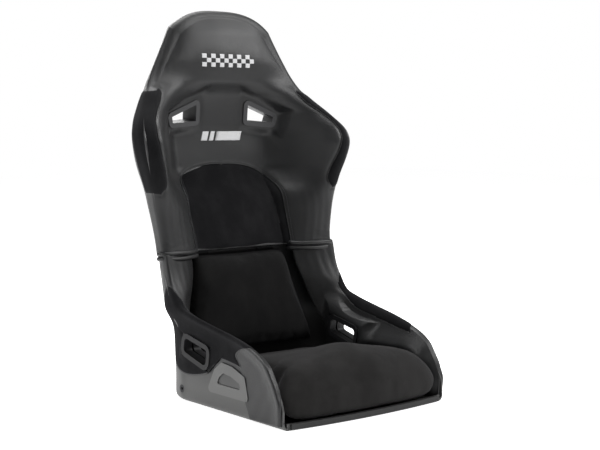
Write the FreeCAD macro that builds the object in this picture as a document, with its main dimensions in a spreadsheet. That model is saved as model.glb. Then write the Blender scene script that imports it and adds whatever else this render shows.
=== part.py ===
import FreeCAD, Part
import math
import os

# Fixed-back racing seat: a two-piece moulded shell (seat half and back half, bolted together at the
# waist), foam blocks, sewn covers, two lift-out pads, harness and lap-belt slots, side-mount plates.
# Frame: millimetres, +Z up, +X to the seat's left-hand side as drawn, the occupant faces -Y.
# The origin is on the underside of the base, on the centre plane, below the back of the cushion.

SIZES = {
    # overall form
    "seat_height": 885, "waist_height": 322, "rib_height": 450, "shoulder_height": 585,
    "neck_height": 708, "head_height": 800, "crown_rise": 45, "hip_height": 212,
    "base_width": 460, "hip_width": 496, "waist_width": 494, "rib_width": 530,
    "shoulder_width": 598, "neck_width": 438, "head_width": 332,
    "base_front": 338, "base_back": 114, "waist_back": 153, "shoulder_back": 230,
    "head_back": 213, "base_edge_radius": 14, "edge_start_angle": 12,
    # shell and layers
    "front_bow": 14, "arch_height": 3, "shell_wall": 4, "rim_setback": 8, "waist_bend": 72,
    "waist_gap": 2, "cover_thickness": 1.5, "layer_gap": 0.5, "lip_height": 14,
    # harness slots, seen from the front: centre, corner offsets, frame
    "harness_x": 112, "harness_z": 641, "harness_y": 186, "frame_rim": 11, "frame_proud": 4,
    "sleeve_wall": 2, "harness_turn": 7, "harness_tilt": 5, "slot_corner": 12, "slot_fit": 0.6,
    # lap-belt slots, seen from the side: centre and frame
    "lap_y": -37, "lap_z": 121, "lap_corner": 20, "lap_inner_x": 196,
    # pads
    "pad_top": 317, "pad_bottom": 123, "pad_top_width": 264, "pad_bottom_width": 372,
    "cushion_back": 47, "cushion_front": 338, "cushion_width": 374, "cushion_front_width": 436,
    "cushion_base": 9,
    # fixings
    "mount_spacing": 290, "mount_rear_y": 24, "mount_z": 28,
    "mount_core": 6.8, "mount_plate": 4, "mount_plate_height": 24, "boss_diameter": 18,
    "bolt_shank": 6, "bolt_head": 12, "head_thickness": 3.5,
    "joint_plate_width": 46, "joint_plate_length": 84, "joint_plate_thickness": 3,
    "joint_x": 96, "joint_hollow_depth": 12, "bolt_pitch": 26, "washer_diameter": 17,
    "washer_thickness": 1.5, "tape_width": 50, "tape_thickness": 1.5, "tape_x": 70,
    "tape_foot": 165, "tape_rise": 86, "tape_length": 240,
    "panel_width": 282, "panel_spring": 446, "panel_top": 522,
    "edge_drop": 17, "bolster_crown": 9, "ridge_edge": 9, "bolster_edge": 26,
    "harness_sleeve": 44, "lap_sleeve_outer": 18, "lap_sleeve_inner": 14,
    "mount_plate_margin": 12, "mount_gap": 2.4,
    "roll_radius": 5,
}

doc = FreeCAD.newDocument("racing_seat")
sheet = doc.addObject("Spreadsheet::Sheet", "sizes")


def fill_sheet():
    """Write every driving dimension as a plain number with its alias."""
    for row, (name, value) in enumerate(SIZES.items(), start=1):
        sheet.set(f"A{row}", name)
        sheet.set(f"B{row}", str(value))
        sheet.setAlias(f"B{row}", name)
    doc.recompute()


fill_sheet()


def size(name):
    """Read one driving dimension from the sheet."""
    return float(getattr(sheet, name))


parts = []


def keep(obj, label):
    """Register a finished document object as a sub-part under its file name."""
    obj.Label = label
    parts.append(obj)
    return obj


def made(label):
    """Shape of a sub-part that is already registered."""
    return next(part.Shape for part in parts if part.Label == label)


def shape_part(label, shape):
    """Add a free-form sub-part: a Part::Feature that holds a shape made by Part's functions."""
    feature = doc.addObject("Part::Feature", label)
    feature.Shape = shape
    return keep(feature, label)


# ---------------------------------------------------------------- curves through design stations

def smooth(stations, where):
    """Value at `where` on a monotone cubic through (position, value) stations."""
    xs = [p for p, _ in stations]
    ys = [value for _, value in stations]
    if where <= xs[0]:
        return ys[0]
    if where >= xs[-1]:
        return ys[-1]
    steps = [(ys[i + 1] - ys[i]) / (xs[i + 1] - xs[i]) for i in range(len(xs) - 1)]
    slopes = [steps[0]] + [
        0.0 if a * b <= 0 else 2 * a * b / (a + b) for a, b in zip(steps, steps[1:])
    ] + [steps[-1]]
    i = max(k for k in range(len(xs) - 1) if xs[k] <= where)
    width = xs[i + 1] - xs[i]
    t = (where - xs[i]) / width
    return ((1 + 2 * t) * (1 - t) ** 2 * ys[i] + t * (1 - t) ** 2 * width * slopes[i]
            + t * t * (3 - 2 * t) * ys[i + 1] + t * t * (t - 1) * width * slopes[i + 1])


def along(stations, share):
    """Point at a share 0..1 of evenly spaced three-part stations."""
    spread = [(i / (len(stations) - 1), p) for i, p in enumerate(stations)]
    return tuple(smooth([(at, p[k]) for at, p in spread], share) for k in range(3))


def mix(a, b, share):
    """Straight blend of two numbers."""
    return a + (b - a) * share


def clamp(value, low, high):
    """Value held between two limits."""
    return max(low, min(high, value))


def half_width(z):
    """Outer half-width of the shell at a height."""
    return smooth([
        (0, size("base_width") / 2), (160, size("base_width") / 2),
        (size("hip_height"), size("hip_width") / 2), (size("waist_height"), size("waist_width") / 2),
        (size("rib_height"), size("rib_width") / 2),
        (size("shoulder_height"), size("shoulder_width") / 2),
        (size("neck_height"), size("neck_width") / 2), (size("head_height"), size("head_width") / 2),
        (size("seat_height") - size("crown_rise"), size("head_width") / 2 - 22),
    ], z)


def back_depth(z):
    """Outer back of the shell on the centre plane at a height."""
    return smooth([
        (0, size("base_back") - 3), (60, size("base_back")), (150, size("base_back") + 8),
        (300, size("waist_back") - 3), (size("waist_height"), size("waist_back")), (400, 172),
        (480, 203), (530, size("shoulder_back") - 5), (600, size("shoulder_back")),
        (size("neck_height"), size("shoulder_back") - 9), (770, size("head_back") - 1),
        (size("seat_height"), size("head_back")),
    ], z)


def rim_depth(z):
    """Front edge of the upholstered rim of the back half at a height."""
    return smooth([
        (size("waist_height"), 64), (360, 69), (420, 71), (480, 66), (530, 55), (570, 50),
        (600, 60), (640, 96), (675, 133), (size("neck_height"), 160), (750, 176), (800, 190),
        (size("seat_height"), 205),
    ], z)


def front_depth(z):
    """Finished front of the back upholstery on the centre plane at a height."""
    return smooth([
        (290, 101), (size("waist_height"), 107), (404, 137), (446, 155), (480, 178), (520, 190),
        (600, 191), (640, 189), (700, 175), (765, 163), (825, 172), (size("seat_height"), 196),
    ], z)


def flat_share(z):
    """Share of the half-width that is the flat middle of the back at a height."""
    return smooth([(290, 0.54), (404, 0.54), (520, 0.46), (640, 0.47), (710, 0.2), (800, 0.02)], z)


def front_point(x, z):
    """Finished front surface of the back upholstery: flat middle, crowned sides up to the rim."""
    width = half_width(z) - size("shell_wall") - size("layer_gap")
    share = clamp(abs(x) / width, 0, 1)
    flat = flat_share(z)
    climb = clamp((share - flat) / (1 - flat), 0, 1)
    crest = climb * climb * (3 - 2 * climb)
    return x, mix(front_depth(z), rim_depth(z), crest), z


def inside_back(x, z, depth):
    """Inner side of the seat half's back wall, `depth` in from its outer face."""
    exponent = tub_exponent(z)
    bend = tub_bend(z)
    share = clamp(abs(x) / (half_width(z) - depth), 0, 0.98)
    reach = back_depth(z) - bend - depth
    return x, bend + reach * (1 - share ** exponent) ** (1 / exponent), z


def tub_exponent(z):
    """Squareness of the seat half's plan at a height."""
    return smooth([(0, 3.4), (180, 3.2), (size("waist_height"), 2.7)], z)


def tub_bend(z):
    """Where the side walls of the seat half start to turn into its back, at a height."""
    top = size("waist_height")
    return mix(0.0, size("waist_bend"), clamp((z - 150) / (top - 150), 0, 1))


# ---------------------------------------------------------------- grids, faces and solids

def surface(grid):
    """Smooth surface through a grid of points."""
    spline = Part.BSplineSurface()
    spline.interpolate([[FreeCAD.Vector(*p) for p in row] for row in grid])
    return spline


def solid_between(first, second):
    """Closed solid between two grids that share their counts, walled by ruled faces."""
    faces = []
    edges = []
    for grid in (first, second):
        spline = surface(grid)
        low_u, high_u, low_v, high_v = spline.bounds()
        faces.append(spline.toShape())
        edges.append([curve.toShape() for curve in (
            spline.uIso(low_u), spline.uIso(high_u), spline.vIso(low_v), spline.vIso(high_v))])
    for edge_a, edge_b in zip(*edges):
        faces.append(Part.makeRuledSurface(edge_a, edge_b))
    skin = Part.makeShell(faces)
    skin.sewShape()
    solid = Part.makeSolid(Part.Shell(skin.Faces) if skin.ShapeType != "Shell" else skin)
    if solid.Volume < 0:
        solid.reverse()
    return solid


def offset_grid(grid, distance, towards):
    """Grid moved along its own normals by a distance, to the side where the point `towards` lies."""
    rows = len(grid)
    columns = len(grid[0])
    points = [[FreeCAD.Vector(*p) for p in row] for row in grid]
    normals = []
    for i in range(rows):
        row = []
        for j in range(columns):
            across = points[min(i + 1, rows - 1)][j] - points[max(i - 1, 0)][j]
            up = points[i][min(j + 1, columns - 1)] - points[i][max(j - 1, 0)]
            row.append(across.cross(up).normalize())
        normals.append(row)
    middle = (rows // 2, columns // 2)
    aim = FreeCAD.Vector(*towards) - points[middle[0]][middle[1]]
    sign = 1 if normals[middle[0]][middle[1]].dot(aim) > 0 else -1
    return [[tuple(p + n * distance * sign) for p, n in zip(line, lean)]
            for line, lean in zip(points, normals)]


def rounded(points, radius):
    """Closed outline through flat (a, b) corners, each rounded by the same radius."""
    corners = [FreeCAD.Vector(a, b, 0) for a, b in points]
    count = len(corners)
    ends = []
    for i, corner in enumerate(corners):
        to_last = (corners[i - 1] - corner).normalize()
        to_next = (corners[(i + 1) % count] - corner).normalize()
        half = to_last.getAngle(to_next) / 2
        reach = radius / math.tan(half)
        middle = corner + (to_last + to_next).normalize() * (radius / math.sin(half) - radius)
        ends.append((corner + to_last * reach, middle, corner + to_next * reach))
    edges = []
    for i, (start, middle, end) in enumerate(ends):
        edges.append(Part.Arc(start, middle, end))
        edges.append(Part.LineSegment(end, ends[(i + 1) % count][0]))
    return edges


def inset(points, distance):
    """Corners of an outline moved inwards (or outwards if negative) by a distance."""
    count = len(points)
    result = []
    middle_a = sum(a for a, _ in points) / count
    middle_b = sum(b for _, b in points) / count
    lines = []
    for (a1, b1), (a2, b2) in zip(points, points[1:] + points[:1]):
        length = math.hypot(a2 - a1, b2 - b1)
        normal = ((b1 - b2) / length, (a2 - a1) / length)
        if normal[0] * (middle_a - a1) + normal[1] * (middle_b - b1) < 0:
            normal = (-normal[0], -normal[1])
        lines.append((normal, normal[0] * a1 + normal[1] * b1 + distance))
    for (n1, c1), (n2, c2) in zip([lines[-1]] + lines[:-1], lines):
        det = n1[0] * n2[1] - n1[1] * n2[0]
        result.append(((c1 * n2[1] - c2 * n1[1]) / det, (n1[0] * c2 - n2[0] * c1) / det))
    return result


def prism(points, radius, placement, low, high):
    """Solid with a rounded outline, standing from `low` to `high` along the placement's axis."""
    wire = Part.Wire([edge.toShape() for edge in rounded(points, radius)])
    solid = Part.Face(wire).extrude(FreeCAD.Vector(0, 0, high - low))
    solid.translate(FreeCAD.Vector(0, 0, low))
    solid.Placement = placement.multiply(solid.Placement)
    return solid


# ---------------------------------------------------------------- shell halves

def half_section(z, exponent, rim, bend, count):
    """Evenly spaced points of half the U-shaped section, from the centre of the back to the rim.

    The middle is a quarter of a superellipse as wide as the shell, and the side wall is straight.
    """
    width = half_width(z)
    depth = back_depth(z) - bend
    fine = 120
    dense = []
    for k in range(fine + 1):
        turn = k / fine * math.pi / 2
        dense.append((width * math.sin(turn) ** (2 / exponent),
                      bend + depth * max(0.0, math.cos(turn)) ** (2 / exponent)))
    dense.append((width, rim))
    return spaced(dense, count)


def spaced(line, count):
    """Points at equal distances along a fine polyline."""
    lengths = [0.0]
    for (a1, b1), (a2, b2) in zip(line, line[1:]):
        lengths.append(lengths[-1] + math.hypot(a2 - a1, b2 - b1))
    points = []
    k = 0
    for step in range(count):
        target = lengths[-1] * step / (count - 1)
        while k < len(line) - 2 and lengths[k + 1] < target:
            k += 1
        share = (target - lengths[k]) / (lengths[k + 1] - lengths[k])
        points.append((mix(line[k][0], line[k + 1][0], share),
                       mix(line[k][1], line[k + 1][1], share)))
    return points


def back_exponent(z):
    """Exponent of the back half's section: squarer at the waist than at the head."""
    return smooth([(320, 2.7), (500, 2.4), (700, 2.3), (840, 2.2)], z)


def back_row(level):
    """Height of the rim, and the rise of the centre over it, for a level 0..1 of the back half."""
    low = size("waist_height") + size("waist_gap")
    high = size("seat_height") - size("crown_rise")
    rim = mix(low, high, level)
    rise = size("crown_rise") * clamp((level - 0.35) / 0.65, 0, 1) ** 1.6
    return rim, rise


def both_sides(half_rows):
    """Grid of both sides from rows (each a list of points) that start on the centre plane."""
    left = [[(-x, y, z) for x, y, z in row] for row in reversed(half_rows[1:])]
    return left + half_rows


def back_grid(side_count=17, level_count=25):
    """Outer surface of the back half, rim to rim, from the waist to the crown."""
    columns = []
    for j in range(level_count):
        rim_z, rise = back_row(j / (level_count - 1))
        exponent = back_exponent(rim_z)
        rim = rim_depth(rim_z) + size("rim_setback")
        bend = mix(rim, back_depth(rim_z), 0.12)
        column = []
        for x, y in half_section(rim_z, exponent, rim, bend, side_count):
            lift = 1 - (x / half_width(rim_z)) ** 2.9
            y += (back_depth(rim_z + rise) - back_depth(rim_z)) * lift
            column.append((x, y, rim_z + rise * lift))
        columns.append(column)
    return both_sides([list(row) for row in zip(*columns)])


def seat_grid(side_count=23, wall_count=13, edge_count=5):
    """Outer surface of the seat half: a tub wall whose top edge follows the side outline."""
    radius = size("base_edge_radius")
    first = math.radians(size("edge_start_angle"))
    columns = []
    for column in range(side_count):
        top = size("waist_height")
        for _ in range(4):
            top = wall_top(tub_point(column, side_count, top)[1])
        heights = [radius * (1 - math.cos(mix(first, math.pi / 2, k / edge_count)))
                   for k in range(edge_count)]
        heights += [mix(radius, top, k / (wall_count - 1)) for k in range(wall_count)]
        columns.append([tub_point(column, side_count, z) for z in heights])
    return both_sides(columns)


def tub_point(column, side_count, z):
    """Point of the tub's outer face at a height: column 0 is the centre of the back."""
    section = half_section(z, tub_exponent(z), -size("base_front"), tub_bend(z), side_count)
    x, y = section[column]
    radius = size("base_edge_radius")
    tuck = radius - math.sqrt(radius ** 2 - (radius - min(z, radius)) ** 2)
    lean = (x / half_width(z)) ** 4
    back = clamp(y / back_depth(z), 0, 1) ** 2
    return x - tuck * lean, y - tuck * back, z


def wall_top(y):
    """Height of the tub's top edge at a depth: low at the front, up to the waist at the back."""
    front = size("base_front")
    drop = size("edge_drop")
    outline = [(-front, 40), (-front + 8, 58), (-front + 22, 82)]
    outline += [(y2, z - drop) for _, y2, z in reversed(RIDGE[2:9])]
    outline += [(46, 258), (62, size("waist_height") - 22), (76, size("waist_height"))]
    return smooth(outline, y)


RIDGE = [  # upholstered ridge of the seat half, from the waist down and forward
    (239, 62, 318), (240, 49, 282), (244, 30, 244), (248, 4, 215), (247, -45, 199),
    (245, -108, 185), (241, -170, 173), (237, -217, 161), (233, -257, 143), (228, -292, 116),
]
INNER_EDGE = [  # where the side bolster meets the back pad and then the cushion
    (140, 106, 318), (142, 98, 288), (152, 88, 252), (170, 76, 212), (191, 46, 150),
    (198, -20, 122), (200, -100, 117), (202, -180, 120), (203, -240, 122), (207, -288, 98),
]
WALL_CORNER = [  # corner that the underside of the bolster foam turns round, inside the shell
    (232, 120, 318), (234, 108, 284), (233, 82, 236), (224, 50, 160), (219, -20, 76),
    (216, -108, 66), (215, -170, 66), (214, -217, 66), (213, -257, 66), (211, -292, 62),
]


def floor_plate():
    """Flat pan of the seat half, with a rounded plan and a small upturned lip along the front."""
    wall = size("shell_wall")
    reach = size("base_edge_radius") * (1 - math.sin(math.radians(size("edge_start_angle")))) - 0.6
    width = size("base_width") / 2 - reach
    back = size("base_back") - 3 - reach
    right = []
    for k in range(9):
        turn = k / 8 * math.pi / 2
        right.append(FreeCAD.Vector(width * math.cos(turn) ** (2 / 3.4),
                                    back * math.sin(turn) ** (2 / 3.4), 0))
    left = [FreeCAD.Vector(-p.x, p.y, 0) for p in reversed(right[:-1])]
    rear = Part.BSplineCurve()
    rear.interpolate(right + left)
    outer, inner = lip_arcs(width)
    pan = Part.Face(Part.Wire([
        rear.toShape(), Part.makeLine(left[-1], outer.StartPoint), outer.toShape(),
        Part.makeLine(outer.EndPoint, right[0])])).extrude(FreeCAD.Vector(0, 0, wall))
    lip = Part.Face(Part.Wire([
        outer.toShape(), Part.makeLine(outer.EndPoint, inner.EndPoint), inner.toShape(),
        Part.makeLine(inner.StartPoint, outer.StartPoint),
    ])).extrude(FreeCAD.Vector(0, 0, size("lip_height")))
    return pan.fuse(lip)


def lip_arcs(width, proud=0.0):
    """Outer and inner bow of the front lip, from -X to +X."""
    bows = []
    for back_by in (-proud, size("shell_wall")):
        y = back_by - size("base_front")
        bows.append(Part.Arc(FreeCAD.Vector(-width, y, 0),
                             FreeCAD.Vector(0, y - size("front_bow"), 0),
                             FreeCAD.Vector(width, y, 0)))
    return bows


def harness_frame_axes(side):
    """Placement of a harness slot: local x outwards, y up, z out of the front of the seat."""
    centre = FreeCAD.Vector(side * size("harness_x"), size("harness_y"), size("harness_z"))
    stand = FreeCAD.Rotation(FreeCAD.Vector(1, 0, 0), 90 + size("harness_tilt"))
    turn = FreeCAD.Rotation(FreeCAD.Vector(0, 0, 1), -side * size("harness_turn"))
    return FreeCAD.Placement(centre, turn.multiply(stand))


def harness_outline(side, shrink=0.0):
    """Corners of a harness frame in its own plane: tall at the inner end, short at the outer."""
    corners = [(-46, 38), (-47, -27), (43, -34), (52, -1)]
    return inset([(side * a, b) for a, b in corners], shrink)


def lap_outline(shrink=0.0):
    """Corners (y, z) of a lap-belt frame: a leaning parallelogram."""
    corners = [(49, 39), (57, -13), (-47, -41), (-57, 17)]
    return inset([(size("lap_y") + a, size("lap_z") + b) for a, b in corners], shrink)


def lap_axes(side, x):
    """Placement whose local x, y are the seat's y, z and whose local z points along +X."""
    return FreeCAD.Placement(FreeCAD.Vector(side * x, 0, 0),
                             FreeCAD.Rotation(FreeCAD.Vector(0, 1, 0), FreeCAD.Vector(0, 0, 1),
                                              FreeCAD.Vector(1, 0, 0), "ZXY"))


def harness_holes(shrink, low, high):
    """Prisms of both harness slots, `shrink` inside the frames' outlines."""
    return [prism(harness_outline(side, shrink), max(2.0, size("slot_corner") - shrink),
                  harness_frame_axes(side), low, high) for side in (-1, 1)]


def lap_holes(shrink, low, high):
    """Prisms of both lap-belt slots between two distances from the centre plane."""
    radius = max(2.0, size("lap_corner") - shrink)
    holes = []
    for side in (-1, 1):
        ends = sorted((side * low, side * high))
        holes.append(prism(lap_outline(shrink), radius, lap_axes(0, 0), *ends))
    return holes


def cut_all(shape, tools):
    """Shape less every tool."""
    for tool in tools:
        shape = shape.cut(tool)
    return biggest(shape)


def biggest(shape):
    """Largest solid of a boolean result, with its seams cleaned."""
    return sorted(shape.Solids, key=lambda solid: solid.Volume)[-1]


def sleeve_shrink(extra):
    """Inset of a slot's sleeve from the frame outline; `extra` widens the hole round it."""
    return size("frame_rim") - size("sleeve_wall") - extra


def make_shells():
    """Both halves of the moulded shell, with slots, bolt holes and mount holes."""
    wall = size("shell_wall")
    inside = (0, -100, 450)
    back = back_grid()
    upper = solid_between(back, offset_grid(back, wall, inside))
    upper = cut_all(upper, harness_holes(sleeve_shrink(size("slot_fit")), -120, 60))
    tub = seat_grid()
    walls = solid_between(tub, offset_grid(tub, wall, (0, -100, 200)))
    walls = biggest(walls.cut(lap_holes(sleeve_shrink(size("slot_fit")), 150, 300) + mount_holes()))
    lower = biggest(walls.fuse([floor_plate()] + arch_bosses()))
    for shape, label in ((lower, "lower_shell"), (upper, "upper_shell")):
        shape_part(label, cut_all(shape, joint_holes(label)))


def arch_bosses():
    """Raised arch moulded on the outside of each side wall, with a shallow pocket in it."""
    arch = [(-76, 40), (-104, 92), (-130, 111), (-168, 107), (-212, 92), (-226, 40)]
    x = size("base_width") / 2
    bosses = []
    for side in (-1, 1):
        ends = sorted((side * (x - 2), side * (x + size("arch_height"))))
        boss = prism(arch, 9, lap_axes(0, 0), *ends)
        ends = sorted((side * (x + 0.8), side * (x + 10)))
        bosses.append(boss.cut(prism(inset(arch, 22), 4, lap_axes(0, 0), *ends)))
    return bosses


def mount_points():
    """(y, z) of the side-mount threads, rear then front."""
    rear = size("mount_rear_y")
    return [(rear, size("mount_z")), (rear - size("mount_spacing"), size("mount_z"))]


def mount_holes():
    """Clearance holes through both side walls for the side-mount bosses."""
    radius = size("boss_diameter") / 2 + 0.25
    holes = []
    for side in (-1, 1):
        for y, z in mount_points():
            start = FreeCAD.Vector(side * (size("base_width") / 2 - 8), y, z)
            holes.append(Part.makeCylinder(radius, 20, start, FreeCAD.Vector(side, 0, 0)))
    return holes


def joint_frame(side, end):
    """Where a joint bolt passes the back of the shell: point on the outer face, and its normal."""
    z = size("waist_height") + end * size("bolt_pitch")
    x = size("joint_x")
    spots = [FreeCAD.Vector(*inside_back(x + dx, z + dz, 0))
             for dx, dz in ((0, 0), (4, 0), (0, 4))]
    normal = (spots[2] - spots[0]).cross(spots[1] - spots[0]).normalize()
    if end > 0:
        spots[0].y = back_face_y(x, z)
    point = FreeCAD.Vector(side * spots[0].x, spots[0].y, z)
    return point, FreeCAD.Vector(side * normal.x, normal.y, normal.z)


def back_face_y(x, z):
    """Outer face of the back half at a place below the shoulders."""
    exponent = back_exponent(z)
    rim = rim_depth(z) + size("rim_setback")
    bend = mix(rim, back_depth(z), 0.12)
    share = abs(x) / half_width(z)
    return bend + (back_depth(z) - bend) * (1 - share ** exponent) ** (1 / exponent)


def joint_places():
    """Every waist-joint bolt: (side, end) with end -1 in the seat half, +1 in the back half."""
    return [(side, end) for side in (-1, 1) for end in (-1, 1)]


def joint_holes(label):
    """Clearance holes for the waist-joint bolts of one shell half."""
    end = -1 if label == "lower_shell" else 1
    holes = []
    for side in (-1, 1):
        point, normal = joint_frame(side, end)
        start = point - normal * 12
        holes.append(Part.makeCylinder(size("bolt_shank") / 2 + 0.4, 24, start, normal))
    return holes


def make_joint():
    """Steel plates inside the waist, with bolts, washers and nuts through both shell halves."""
    bolts = []
    washers = []
    nuts = []
    plates = {-1: [], 1: []}
    wall = size("shell_wall")
    thick = size("joint_plate_thickness")
    for side, end in joint_places():
        point, normal = joint_frame(side, end)
        reach = wall + 0.3
        washer = Part.makeCylinder(size("washer_diameter") / 2, size("washer_thickness"),
                                   point + normal * 0.3, normal)
        bore = Part.makeCylinder(size("bolt_shank") / 2 + 0.2, 30, point - normal * 15, normal)
        washers.append(washer.cut(bore))
        under = point + normal * (size("washer_thickness") + 0.3)
        shank = Part.makeCylinder(size("bolt_shank") / 2, reach + thick + 7.5, under, normal * -1)
        bolts.append(bolt_solid(under, normal).fuse(shank).removeSplitter())
        seat = point - normal * (reach + thick + 0.6)
        nut = Part.makeCylinder(5.5, 5, seat, normal * -1)
        nuts.append(nut.cut(bore))
        plates[side].append((point - normal * (reach + 0.4), normal, bore))
    shape_part("joint_bolts", Part.makeCompound(bolts))
    shape_part("joint_washers", Part.makeCompound(washers))
    shape_part("joint_nuts", Part.makeCompound(nuts))
    for side, name in ((-1, "right"), (1, "left")):
        low, high = plates[side]
        shape_part(f"joint_plate_{name}", joint_plate(low, high, side))


def bolt_solid(under, normal):
    """Low domed bolt head with a hexagon socket, standing on the point `under`."""
    radius = size("bolt_head") / 2
    thick = size("head_thickness")
    head = Part.makeCone(radius, radius * 0.62, thick, under, normal)
    socket = Part.makeCylinder(radius * 0.33, thick * 0.6, under + normal * thick * 0.5, normal)
    return head.cut(socket)


def joint_plate(low, high, side):
    """Strap across the waist joint: two flats that follow the bolts' planes."""
    solid = None
    middle_z = size("waist_height")
    half = size("joint_plate_length") / 2
    for (point, normal, bore), reach in ((low, -half), (high, half)):
        across = FreeCAD.Vector(0, 0, 1).cross(normal).normalize()
        up = normal.cross(across).normalize()
        if up.z < 0:
            up = up * -1
        lift = (middle_z - point.z) / up.z
        near = point + up * lift
        far = near + up * (reach / up.z)
        wing = across * (size("joint_plate_width") / 2)
        corners = [near + wing, far + wing, far - wing, near - wing]
        face = Part.Face(Part.makePolygon(corners + corners[:1]))
        flat = face.extrude(normal * -size("joint_plate_thickness")).cut(bore)
        solid = flat if solid is None else solid.fuse(flat)
    return biggest(solid)


def back_front_grid(low=0.0, high=1.0, across=27, levels=25, depth=0.0):
    """Finished front of the back upholstery between two levels, moved in by `depth`."""
    grid = []
    for i in range(across):
        u = -1 + 2 * i / (across - 1)
        row = []
        for j in range(levels):
            rim_z, rise = back_row(mix(low, high, j / (levels - 1)))
            z = rim_z + rise * (1 - abs(u) ** 2.9)
            width = half_width(rim_z) - size("shell_wall") - size("layer_gap")
            _, y, _ = front_point(u * width, z)
            y = mix(y, rim_depth(rim_z), abs(u) ** 8)
            row.append((u * width, y, z))
        grid.append(row)
    return offset_grid(grid, depth, (0, 400, 500)) if depth else grid


def back_rear_grid(low, high, across=27, levels=25):
    """Rear of the back foam: the shell's inner face less a gap, between two levels."""
    inset_by = size("shell_wall") + size("layer_gap")
    columns = []
    for j in range(levels):
        rim_z, rise = back_row(mix(low, high, j / (levels - 1)))
        rim = rim_depth(rim_z) + size("rim_setback")
        bend = mix(rim, back_depth(rim_z), 0.12)
        exponent = back_exponent(rim_z)
        column = []
        for x, y in half_section(rim_z, exponent, rim, bend, across // 2 + 1):
            lift = 1 - (x / half_width(rim_z)) ** 2.9
            y += (back_depth(rim_z + rise) - back_depth(rim_z)) * lift
            column.append((x, y, rim_z + rise * lift))
        columns.append(column)
    grid = both_sides([list(row) for row in zip(*columns)])
    return offset_grid(grid, inset_by, (0, -100, 450))


def arch_prism(margin):
    """Prism of the arched centre panel, wider than it by `margin`, running along y."""
    half = size("panel_width") / 2 + margin
    spring = size("panel_spring")
    rise = size("panel_top") - spring + margin
    base = size("waist_height") + 12 - margin
    ellipse = Part.Ellipse(FreeCAD.Vector(0, 0, 0), half, rise)
    top = Part.ArcOfEllipse(ellipse, 0, math.pi)
    outline = top.toShape()
    outline.Placement = FreeCAD.Placement(FreeCAD.Vector(0, 0, spring),
                                          FreeCAD.Rotation(FreeCAD.Vector(1, 0, 0), 90))
    foot = [FreeCAD.Vector(-half, 0, spring), FreeCAD.Vector(-half, 0, base),
            FreeCAD.Vector(half, 0, base), FreeCAD.Vector(half, 0, spring)]
    edges = [outline] + [Part.makeLine(a, b) for a, b in zip(foot, foot[1:])]
    return Part.Face(Part.Wire(edges)).extrude(FreeCAD.Vector(0, 260, 0))


def shoulder_prism(side, margin):
    """Prism (along y) outside the seam of a shoulder panel, grown by `margin`."""
    seam = [(196, 699), (215, 670), (240, 646), (262, 618), (268, 590), (258, 550), (243, 515),
            (236, 486), (246, 463)]
    points = [FreeCAD.Vector(side * (x - margin), 0, z) for x, z in seam]
    points[0].z += margin
    points[-1].z -= margin
    curve = Part.BSplineCurve()
    curve.interpolate(points)
    far_top = FreeCAD.Vector(side * 360, 0, 699 + margin)
    far_low = FreeCAD.Vector(side * 360, 0, 463 - margin)
    edges = [curve.toShape(), Part.makeLine(points[-1], far_low), Part.makeLine(far_low, far_top),
             Part.makeLine(far_top, points[0])]
    return Part.Face(Part.Wire(edges)).extrude(FreeCAD.Vector(0, 260, 0))


def make_back_soft():
    """Foam blocks and sewn covers of the back half."""
    cover = size("cover_thickness")
    gap = size("layer_gap")
    split = 0.74
    through = harness_holes(sleeve_shrink(size("slot_fit")), -120, 60)
    hollows = [joint_hollow(side) for side in (-1, 1)]
    pockets = harness_holes(-size("slot_fit"), -3, 60)
    sunk = cover + 2 * gap
    foam = solid_between(back_front_grid(0, split, depth=sunk), back_rear_grid(0, split))
    shape_part("back_foam", cut_all(foam, through + pockets + hollows))
    head = solid_between(back_front_grid(split + 0.004, 0.97, depth=sunk + 1),
                         back_rear_grid(split + 0.004, 0.97))
    shape_part("head_foam", head)
    skin = solid_between(back_front_grid(), back_front_grid(depth=cover))
    panel = biggest(skin.common(arch_prism(-gap / 2)))
    shape_part("back_centre_panel", panel)
    shoulders = [shoulder_prism(side, 0) for side in (-1, 1)]
    for tool, name in zip(shoulders, ("right", "left")):
        shape_part(f"shoulder_panel_{name}", biggest(skin.common(tool)))
    tools = [arch_prism(gap / 2)] + [shoulder_prism(side, gap) for side in (-1, 1)]
    shape_part("back_cover", cut_all(skin, tools + through + pockets))


def joint_hollow(side):
    """Hollow in the back foam round the plate and nuts of one waist joint."""
    half = size("joint_plate_width") / 2 + 4
    top = size("waist_height") + size("joint_plate_length") / 2 + 5
    y = back_depth(size("waist_height")) - size("joint_hollow_depth") - 12
    low = FreeCAD.Vector(side * size("joint_x") - half, y, size("waist_height") - 20)
    return Part.makeBox(2 * half, 80, top - low.z, low)


def bolster_grids(side, first, last, low, high, depth, along_count=25, across_count=9):
    """Finished face of a side bolster and its hidden back, between two stations and two shares."""
    face = []
    hidden = []
    for i in range(along_count):
        share = mix(first, last, i / (along_count - 1))
        ridge = FreeCAD.Vector(*along(RIDGE, share))
        edge = FreeCAD.Vector(*along(INNER_EDGE, share))
        corner = FreeCAD.Vector(*along(WALL_CORNER, share))
        crown = (ridge + edge) * 0.5 - corner
        crown = crown.normalize() * size("bolster_crown")
        bulge = (ridge + edge) * 0.5 + crown
        start = ridge + (corner - ridge).normalize() * size("ridge_edge")
        start.x -= size("shell_wall") + size("layer_gap")
        end = edge + (corner - edge).normalize() * size("bolster_edge")
        face.append([curve_point(ridge, bulge, edge, mix(low, high, j / (across_count - 1)))
                     for j in range(across_count)])
        hidden.append([curve_point(start, corner, end, mix(low, high, j / (across_count - 1)))
                       for j in range(across_count)])
    if depth:
        face = offset_grid(face, depth, along(WALL_CORNER, (first + last) / 2))
    if side < 0:
        face = [[(-x, y, z) for x, y, z in row] for row in face]
        hidden = [[(-x, y, z) for x, y, z in row] for row in hidden]
    return face, hidden


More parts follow.
